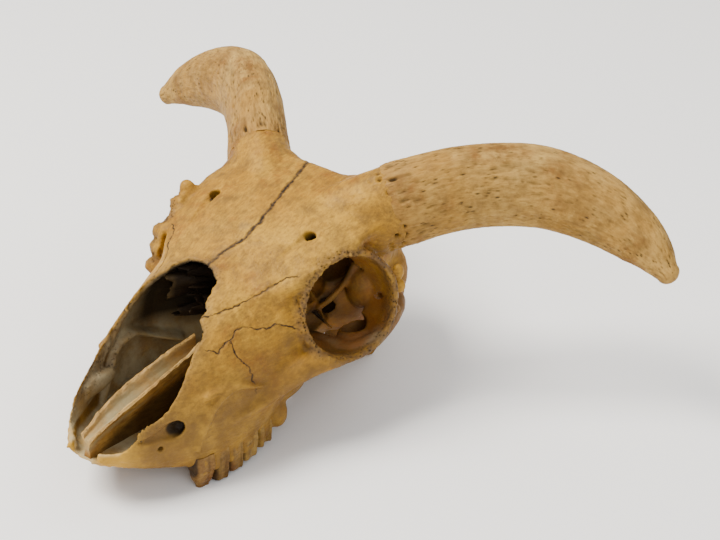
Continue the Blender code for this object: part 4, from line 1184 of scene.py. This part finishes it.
@dataclass
class Vomer:
    """The trough of thin bone that stands in the middle of the nose."""

    stations: tuple = (
        (-27.0, 18.8, 28.5, 3.2), (-13.0, 18.8, 35.0, 4.8), (2.0, 18.8, 39.0, 5.6), (19.0, 19.3, 43.0, 5.2),
        (36.0, 21.0, 46.5, 3.4),
    )
    wall: float = 1.4
    trough: float = 10.0

    def ring(self, y: float, foot: float, top: float, half: float) -> list[Point]:
        """Outline across the trough at y."""
        keel = top - self.trough * (top - foot) / 24
        corners = [
            (1.8, foot - 1), (0.9, foot + 4), (0.9, keel - 3), (half * 0.45, keel), (half * 0.86, (keel + top) / 2),
            (half, top - 0.6), (half - self.wall * 0.5, top), (half - self.wall, top - 0.6),
            (half * 0.5, (keel + top) / 2 - 0.3), (0.0, keel + 1.4),
        ]
        corners += [(-x, z) for x, z in reversed(corners[:-1])]
        return [
            (x0 + (x1 - x0) * k / 6, y, z0 + (z1 - z0) * k / 6)
            for (x0, z0), (x1, z1) in zip(corners, corners[1:] + corners[:1]) for k in range(6)
        ]

    def make(self, finishes: dict[str, bpy.types.Material]) -> None:
        """The trough, worn at its edges."""
        rows = Shaper.curve([tuple(r) for r in self.stations], 26)
        obj = Shaper.loft("vomer", [self.ring(*row) for row in rows])
        co, normals = Shaper.points(obj), Shaper.normals(obj)
        spots = SKULL.measures(co)
        fibre = spots * np.array([1, 0.3, 1])
        height = 0.28 * Grain.rough(fibre, 3.0, 101) + 0.12 * Grain.rough(spots, 1.2, 103)
        rows_ = np.array(self.stations)
        top = np.interp(spots[:, 1], rows_[:, 0], rows_[:, 2])
        edge = np.clip(1 - (top - spots[:, 2]) / 2.5, 0, 1)
        half_at = np.interp(spots[:, 1], rows_[:, 0], rows_[:, 3]) - self.wall * 0.7
        moved = co + normals * height[:, None] * MM
        moved[:, 2] -= edge * (0.9 + 1.1 * Grain.rough(spots * np.array([1, 1, 0]), 3.5, 105)) * MM
        Shaper.move(obj, moved)
        Shaper.store(obj, "proud", height)
        trough = np.clip((half_at - np.abs(spots[:, 0])) / 1.4, 0, 1) * np.clip((spots[:, 2] - top + 9) / 3, 0, 1)
        Shaper.store(obj, "inner", np.clip(trough, 0, 1))
        Shaper.store(obj, "porous", edge * 0.6)
        # painted shade on the lower stem under the keel
        Shaper.store(obj, "painted_shade", np.clip((top - 8 - spots[:, 2]) / 7, 0, 0.85))
        Shaper.finish(obj, "vomer_bone", finishes["vomer"], "bone_grey", ("vomer",))


@dataclass
class Ethmoid:
    """The thin scrolls at the back of the nose."""

    scrolls: tuple = (
        ((-24, 40, 58), (-17, 58, 60), 9.0), ((-16, 44, 63), (-11, 60, 60), 8.0), ((-8, 44, 60), (-5, 60, 56), 7.5),
        ((-22, 44, 49), (-15, 60, 51), 8.5), ((-12, 46, 52), (-8, 60, 50), 8.0), ((9, 44, 61), (7, 60, 57), 8.0),
        ((17, 44, 56), (12, 60, 54), 8.5), ((8, 46, 49), (7, 60, 48), 7.0),
    )
    wall: float = 0.55

    def scroll(self, start: Point, end: Point, radius: float, seed: int) -> bpy.types.Object:
        """A sheet rolled about a line, with a ragged front edge."""
        a, b = np.array(start, float), np.array(end, float)
        along = (b - a) / np.linalg.norm(b - a)
        side = np.cross(along, (0, 0, 1))
        side /= np.linalg.norm(side)
        over = np.cross(side, along)
        rings, count = [], 30
        for i in range(18):
            t = i / 17
            ring = []
            for inner in (0, 1):
                for k in range(count):
                    u = (k if not inner else count - 1 - k) / (count - 1)
                    turn = 2.6 * u + seed * 1.7
                    wave = 0.16 * math.sin(9 * u + seed * 2.1 + 4 * t)
                    r = radius * (0.5 + 0.4 * u + wave) * (0.8 + 0.3 * t) - inner * self.wall
                    ragged = (1 - t) * 6.0 * Grain.rough(np.array([[u * 14, seed * 9.0, 0]]), 3.0, seed)[0]
                    spot = a + (b - a) * t + along * ragged + r * (math.cos(turn) * side + math.sin(turn) * over)
                    ring.append(tuple(spot))
            rings.append(ring)
        return Shaper.loft("scroll", rings)

    def make(self, finishes: dict[str, bpy.types.Material]) -> None:
        """All scrolls as one piece."""
        made = [self.scroll(a, b, r, 3 + k) for k, (a, b, r) in enumerate(self.scrolls)]
        obj = Shaper.join("ethmoid", made)
        spots = SKULL.measures(Shaper.points(obj))
        Shaper.store(obj, "proud", Grain.rough(spots, 2.0, 111) * 0.3)
        # painted shade, darker further back in the nose
        Shaper.store(obj, "painted_shade", np.clip((spots[:, 1] - 34) / 8, 0, 1))
        Shaper.finish(obj, "ethmoid_scrolls", finishes["bone_grey"], "bone_grey")


def linear(code: str) -> tuple[float, float, float, float]:
    """A hex colour as the linear values that the materials take."""
    parts = [int(code[k:k + 2], 16) / 255 for k in (1, 3, 5)]
    return tuple(c / 12.92 if c <= 0.04045 else ((c + 0.055) / 1.055) ** 2.4 for c in parts) + (1.0,)


def add(tree: bpy.types.NodeTree, kind: str, settings: dict | None = None, stops: tuple = (),
        **inputs: object) -> bpy.types.Node:
    """Adds a node with its settings and links.

    Args:
        tree: the material's nodes.
        kind: the node's type.
        settings: the node's own settings by name.
        stops: places and colours of a ramp, as hex values or greys.
        **inputs: values or sockets by the input's name with _ for a blank, or i and its number.
    Returns:
        The node.
    """
    node = tree.nodes.new(kind)
    for key, value in (settings or {}).items():
        setattr(node, key, value)
    if stops:
        ramp = node.color_ramp
        while len(ramp.elements) < len(stops):
            ramp.elements.new(0.5)
        for element, (place, tone) in zip(ramp.elements, stops):
            element.position = place
            element.color = linear(tone) if isinstance(tone, str) else (tone, tone, tone, 1.0)
    for key, value in inputs.items():
        socket = node.inputs[int(key[1:])] if key[0] == "i" and key[1:].isdigit() else node.inputs[key.replace("_", " ")]
        if isinstance(value, bpy.types.NodeSocket):
            tree.links.new(value, socket)
        else:
            socket.default_value = value
    return node


@dataclass(frozen=True)
class BoneFinish:
    """Dry bone that has lain outside: ochre stain over paler bone, dust and dirt in its hollows, with painted shade in
    its hollows and recesses.

    Attributes:
        name: the material's name.
        base: most of the surface.
        light: where the bone is bleached or rubbed.
        dark: the mottles, and the painted shade low on the skull.
        stain: the orange-brown patches.
        dirt_and_shade: dirt in sutures and pores, and painted shade in hollows, recesses and the backs of the nose and
            sockets.
        dust: the grey film on inner surfaces.
        dull: the crumbling, porous bone of rims and horn roots.
        roughness: of the surface between its pores.
    """

    name: str
    base: str
    light: str
    dark: str
    stain: str
    dirt_and_shade: str
    dust: str
    dull: str
    roughness: float
    vector: str = ""
    pore_size: float = 1.5
    pore_stretch: float = 1.0
    pores_everywhere: float = 0.15
    fibre_size: float = 1.2
    fibre_stretch: float = 0.22

    def make(self) -> bpy.types.Material:
        """The material."""
        material = bpy.data.materials.new(self.name)
        material.use_nodes = True
        tree = material.node_tree
        tree.nodes.clear()
        if self.vector:
            place = add(tree, "ShaderNodeAttribute", {"attribute_name": self.vector}).outputs["Vector"]
        else:
            place = add(tree, "ShaderNodeTexCoord").outputs["Object"]

        def value(name: str) -> bpy.types.NodeSocket:
            """A number that the piece keeps for each vertex."""
            return add(tree, "ShaderNodeAttribute", {"attribute_name": name}).outputs["Fac"]

        def grain(size: float, detail: float = 3.0, stretch: float = 1.0) -> bpy.types.NodeSocket:
            """Noise with swellings of a size in millimetres, stretched along x."""
            spot = place
            if stretch != 1.0:
                spot = add(tree, "ShaderNodeMapping", i0=place, Scale=(1 / stretch, 1, 1)).outputs[0]
            return add(tree, "ShaderNodeTexNoise", Vector=spot, Scale=1000 / size, Detail=detail,
                       Roughness=0.6).outputs["Fac"]

        def ramp(fac: bpy.types.NodeSocket, low: float, high: float, a: float = 0.0, b: float = 1.0) -> bpy.types.NodeSocket:
            """A value brought from one range to another, and kept within it."""
            return add(tree, "ShaderNodeMapRange", Value=fac, From_Min=low, From_Max=high, To_Min=a,
                       To_Max=b).outputs[0]

        def times(a: bpy.types.NodeSocket, b: bpy.types.NodeSocket | float) -> bpy.types.NodeSocket:
            """The product of two values."""
            return add(tree, "ShaderNodeMath", {"operation": "MULTIPLY"}, i0=a, i1=b).outputs[0]

        def blend(fac: bpy.types.NodeSocket, under: object, over: object, how: str = "MIX") -> bpy.types.NodeSocket:
            """One colour laid over another."""
            return add(tree, "ShaderNodeMix", {"data_type": "RGBA", "blend_type": how}, i0=fac, i6=under,
                       i7=over).outputs[2]

        proud = value("proud")
        colour = blend(ramp(grain(34), 0.38, 0.64), linear(self.base), linear(self.light))
        colour = blend(ramp(grain(9, 5), 0.44, 0.7, 0, 0.75), colour, linear(self.dark))
        colour = blend(times(ramp(grain(21, 4), 0.52, 0.68), ramp(grain(5, 3), 0.3, 0.6, 0, 0.75)), colour,
                       linear(self.stain))
        colour = blend(ramp(grain(2.2, 5, self.pore_stretch), 0.35, 0.75, 0, 0.35), colour, linear(self.dark))
        way = (1 / self.pore_stretch, 1, 1) if self.vector else (1, self.fibre_stretch, 1)
        spun = add(tree, "ShaderNodeMapping", i0=place, Scale=way).outputs[0]
        fibre = add(tree, "ShaderNodeTexNoise", Vector=spun, Scale=1000 / self.fibre_size, Detail=4.0,
                    Roughness=0.65).outputs["Fac"]
        colour = blend(ramp(fibre, 0.48, 0.7, 0, 0.6), colour, linear(self.dark))
        colour = blend(ramp(fibre, 0.45, 0.3, 0, 0.35), colour, linear(self.light))
        colour = blend(times(ramp(grain(13, 5), 0.6, 0.68), ramp(grain(2.6, 4), 0.4, 0.6, 0, 0.6)), colour,
                       linear(self.light))
        # painted shade, mottled: the bone darkens towards the bottom
        colour = blend(times(value("lower_shade"), ramp(grain(15, 4), 0.3, 0.62, 0.25, 0.85)), colour, linear(self.dark))
        colour = blend(times(value("bleached"), 0.65), colour, linear(self.light))
        colour = blend(times(value("reddish"), 0.75), colour, linear(self.stain))
        colour = blend(times(value("inner"), ramp(grain(9, 4), 0.36, 0.62, 0.35, 0.95)), colour, linear(self.dust))
        colour = blend(times(value("socket"), ramp(grain(7, 3), 0.3, 0.7, 0.3, 0.8)), colour, linear(self.dull))
        colour = blend(times(value("socket"), ramp(grain(12, 3), 0.35, 0.65, 0.1, 0.7)), colour, linear(self.stain))
        colour = blend(ramp(proud, 0.1, 0.9, 0, 0.55), colour, linear(self.light))
        colour = blend(times(value("porous"), ramp(grain(3.2, 4), 0.38, 0.62, 0.35, 0.9)), colour, linear(self.dull))
        # painted shade: the stored darkness of recesses, the nose's back and the foramina turns the colour to the dark
        # dirt tone
        colour = blend(times(value("painted_shade"), 0.96), colour, linear(self.dirt_and_shade))
        # painted shade in hollows, pores and clefts, together with dirt there: sunken places turn to the dark dirt tone
        colour = blend(ramp(proud, -0.12, -1.0, 0, 0.85), colour, linear(self.dirt_and_shade))
        line = add(tree, "ShaderNodeMath", {"operation": "ABSOLUTE"}, i0=value("suture")).outputs[0]
        mark = times(times(ramp(line, 0.62, 0.12), ramp(value("near_suture"), 0.5, 0.75)),
                     ramp(grain(7, 2), 0.32, 0.52, 0.45, 1.0))
        colour = blend(mark, colour, linear(self.dull))
        colour = blend(times(mark, ramp(grain(1.8, 3), 0.38, 0.56, 0.3, 0.95)), colour, linear(self.dirt_and_shade))
        spot = add(tree, "ShaderNodeMapping", i0=place, Scale=(1 / self.pore_stretch, 1, 1)).outputs[0]
        cells = add(tree, "ShaderNodeTexVoronoi", Vector=spot, Scale=1000 / self.pore_size,
                    Randomness=1.0).outputs["Distance"]
        some = ramp(grain(6, 3), 0.45, 0.62)
        where = add(tree, "ShaderNodeMath", {"operation": "MAXIMUM"}, i0=value("porous"),
                    i1=times(some, self.pores_everywhere)).outputs[0]
        holes = times(ramp(cells, 0.34, 0.12), where)
        colour = blend(times(holes, 0.85), colour, linear(self.dirt_and_shade))
        fine = grain(0.9, 4, self.pore_stretch)
        height = add(tree, "ShaderNodeMath", {"operation": "ADD"}, i0=fine, i1=times(fibre, 0.8)).outputs[0]
        height = add(tree, "ShaderNodeMath", {"operation": "SUBTRACT"}, i0=height, i1=times(holes, 1.4)).outputs[0]
        height = add(tree, "ShaderNodeMath", {"operation": "SUBTRACT"}, i0=height, i1=times(mark, 1.2)).outputs[0]
        bump = add(tree, "ShaderNodeBump", Strength=0.55, Distance=0.0004, Height=height).outputs[0]
        rough = ramp(grain(4, 3), 0.3, 0.7, self.roughness - 0.1, self.roughness + 0.14)
        shader = add(tree, "ShaderNodeBsdfPrincipled", Base_Color=colour, Roughness=rough, Normal=bump, IOR=1.5)
        shader.inputs["Specular IOR Level"].default_value = 0.14
        add(tree, "ShaderNodeOutputMaterial", Surface=shader.outputs[0])
        material.diffuse_color = linear(self.base)
        return material


# Dry bone, stained ochre by soil: warm, mottled, with a faint grease where it was handled.
OCHRE_BONE = BoneFinish("dry_bone_ochre", "#9c6f1e", "#b98d30", "#644820", "#7d4814", "#1d1409", "#9f9170", "#55402a", 0.5)
# The same bone at the back of the skull, where it lay in the soil: browner and duller.
SOIL_BONE = BoneFinish("dry_bone_soil", "#9a6c22", "#b3852f", "#70501e", "#7c4718", "#1f150a", "#7b705a", "#6c5436", 0.58)
# Thin bone of the nose, never in the sun: grey, dusty, orange-brown where fibres are torn.
INNER_BONE = BoneFinish("thin_bone_grey", "#6d5636", "#a58a5a", "#4a3518", "#6b3d12", "#1c120a", "#8b8272", "#6d5a40", 0.62)
# The vomer: orange-brown and smooth outside, dusty grey in its trough, pale at its worn edges, with painted shade on
# its lower stem.
VOMER_BONE = BoneFinish("vomer_bone", "#946623", "#bb954e", "#644218", "#875018", "#1c120a", "#978965", "#a98f60", 0.55)
# Bone that fed the horn: open pores drawn out along the core, paler and chalkier.
CORE_BONE = BoneFinish("horn_core_bone", "#9c7432", "#b28f4c", "#63461f", "#764a1b", "#1a1208", "#b0a488", "#5f482c", 0.62,
                       vector="grain", pore_size=1.3, pore_stretch=3.4, pores_everywhere=1.0)
# Cheek-tooth enamel, yellowed, with brown cement and painted shade in its folds and between the teeth: smoother than
# the bone.
ENAMEL = BoneFinish("tooth_enamel", "#725122", "#a08040", "#422b11", "#5c2e12", "#180e06", "#a0957e", "#5f482c", 0.34,
                    pores_everywhere=0.0)


@dataclass
class Studio:
    """The floor, the light and the camera at the photograph's viewing angle."""

    azimuth: float = 37.1
    elevation: float = 27.6
    roll: float = -2.8
    position: Point = (412.25, -402.9, 392.7)
    focal_px: float = 1700.0
    image_width: int = 720
    sensor: float = 36.0

    def camera(self) -> None:
        """The camera, turned as the skull's own frame is turned in the part's."""
        a, e, r = (math.radians(v) for v in (self.azimuth, self.elevation, self.roll))
        right = Vector((math.cos(a), math.sin(a), 0))
        ahead = Vector((-math.sin(a) * math.cos(e), math.cos(a) * math.cos(e), -math.sin(e)))
        down = ahead.cross(right)
        right_rolled = right * math.cos(r) + down * math.sin(r)
        down_rolled = down * math.cos(r) - right * math.sin(r)
        turn = Matrix((right_rolled, -down_rolled, -ahead)).transposed().to_4x4()
        data = bpy.data.cameras.new("camera")
        data.lens = self.focal_px * self.sensor / self.image_width
        data.sensor_width = self.sensor
        data.clip_start = 0.01
        camera = bpy.data.objects.new("camera", data)
        camera.matrix_world = (
            Matrix.Translation(SKULL.place(*self.position)) @ Matrix.Rotation(-SKULL.turn, 4, "X") @ turn
        )
        bpy.context.scene.collection.objects.link(camera)
        bpy.context.scene.camera = camera

    def light(self, name: str, place: Point, size: float, power: float, tone: str) -> None:
        """A soft square light that points at the skull.

        Args:
            name: the light's name.
            place: where it hangs, in metres.
            size: its side, in metres.
            power: in watts.
            tone: its colour.
        """
        data = bpy.data.lights.new(name, "AREA")
        data.shape = "SQUARE"
        data.size = size
        data.energy = power
        data.color = linear(tone)[:3]
        lamp = bpy.data.objects.new(name, data)
        lamp.location = place
        lamp.rotation_euler = (Vector((0, 0, 0.05)) - Vector(place)).to_track_quat("-Z", "Y").to_euler()
        bpy.context.scene.collection.objects.link(lamp)

    def floor(self) -> None:
        """A pale matt floor."""
        bm = bmesh.new()
        bmesh.ops.create_grid(bm, x_segments=1, y_segments=1, size=4.0)
        obj = Shaper.object("floor", bm)
        material = bpy.data.materials.new("matt_paper")
        material.use_nodes = True
        shader = material.node_tree.nodes["Principled BSDF"]
        shader.inputs["Base Color"].default_value = linear("#f4f3f1")
        shader.inputs["Roughness"].default_value = 0.9
        obj.data.materials.append(material)

    def make(self) -> None:
        """All that stands round the skull."""
        self.camera()
        self.floor()
        self.light("key", (-0.55, -0.55, 1.35), 0.8, 50.0, "#fffaf2")
        self.light("fill", (1.2, -0.7, 0.9), 1.2, 10.0, "#f8f9ff")
        self.light("back", (0.3, 1.2, 1.2), 1.0, 8.0, "#ffffff")
        world = bpy.data.worlds.new("pale")
        world.use_nodes = True
        world.node_tree.nodes["Background"].inputs["Color"].default_value = linear("#f2f2f2")
        world.node_tree.nodes["Background"].inputs["Strength"].default_value = 0.75
        bpy.context.scene.world = world


def main() -> None:
    """Builds the skull's pieces in order."""
    finishes = {
        "bone_tan": OCHRE_BONE.make(), "bone_brown": SOIL_BONE.make(), "bone_grey": INNER_BONE.make(),
        "horn_core_bone": CORE_BONE.make(), "enamel": ENAMEL.make(), "vomer": VOMER_BONE.make(),
    }
    Studio().make()
    BoneWall().make(finishes)
    HornCores().make(finishes)
    Teeth().make(finishes)
    Vomer().make(finishes)
    Ethmoid().make(finishes)


if __name__ == "__main__":
    main()
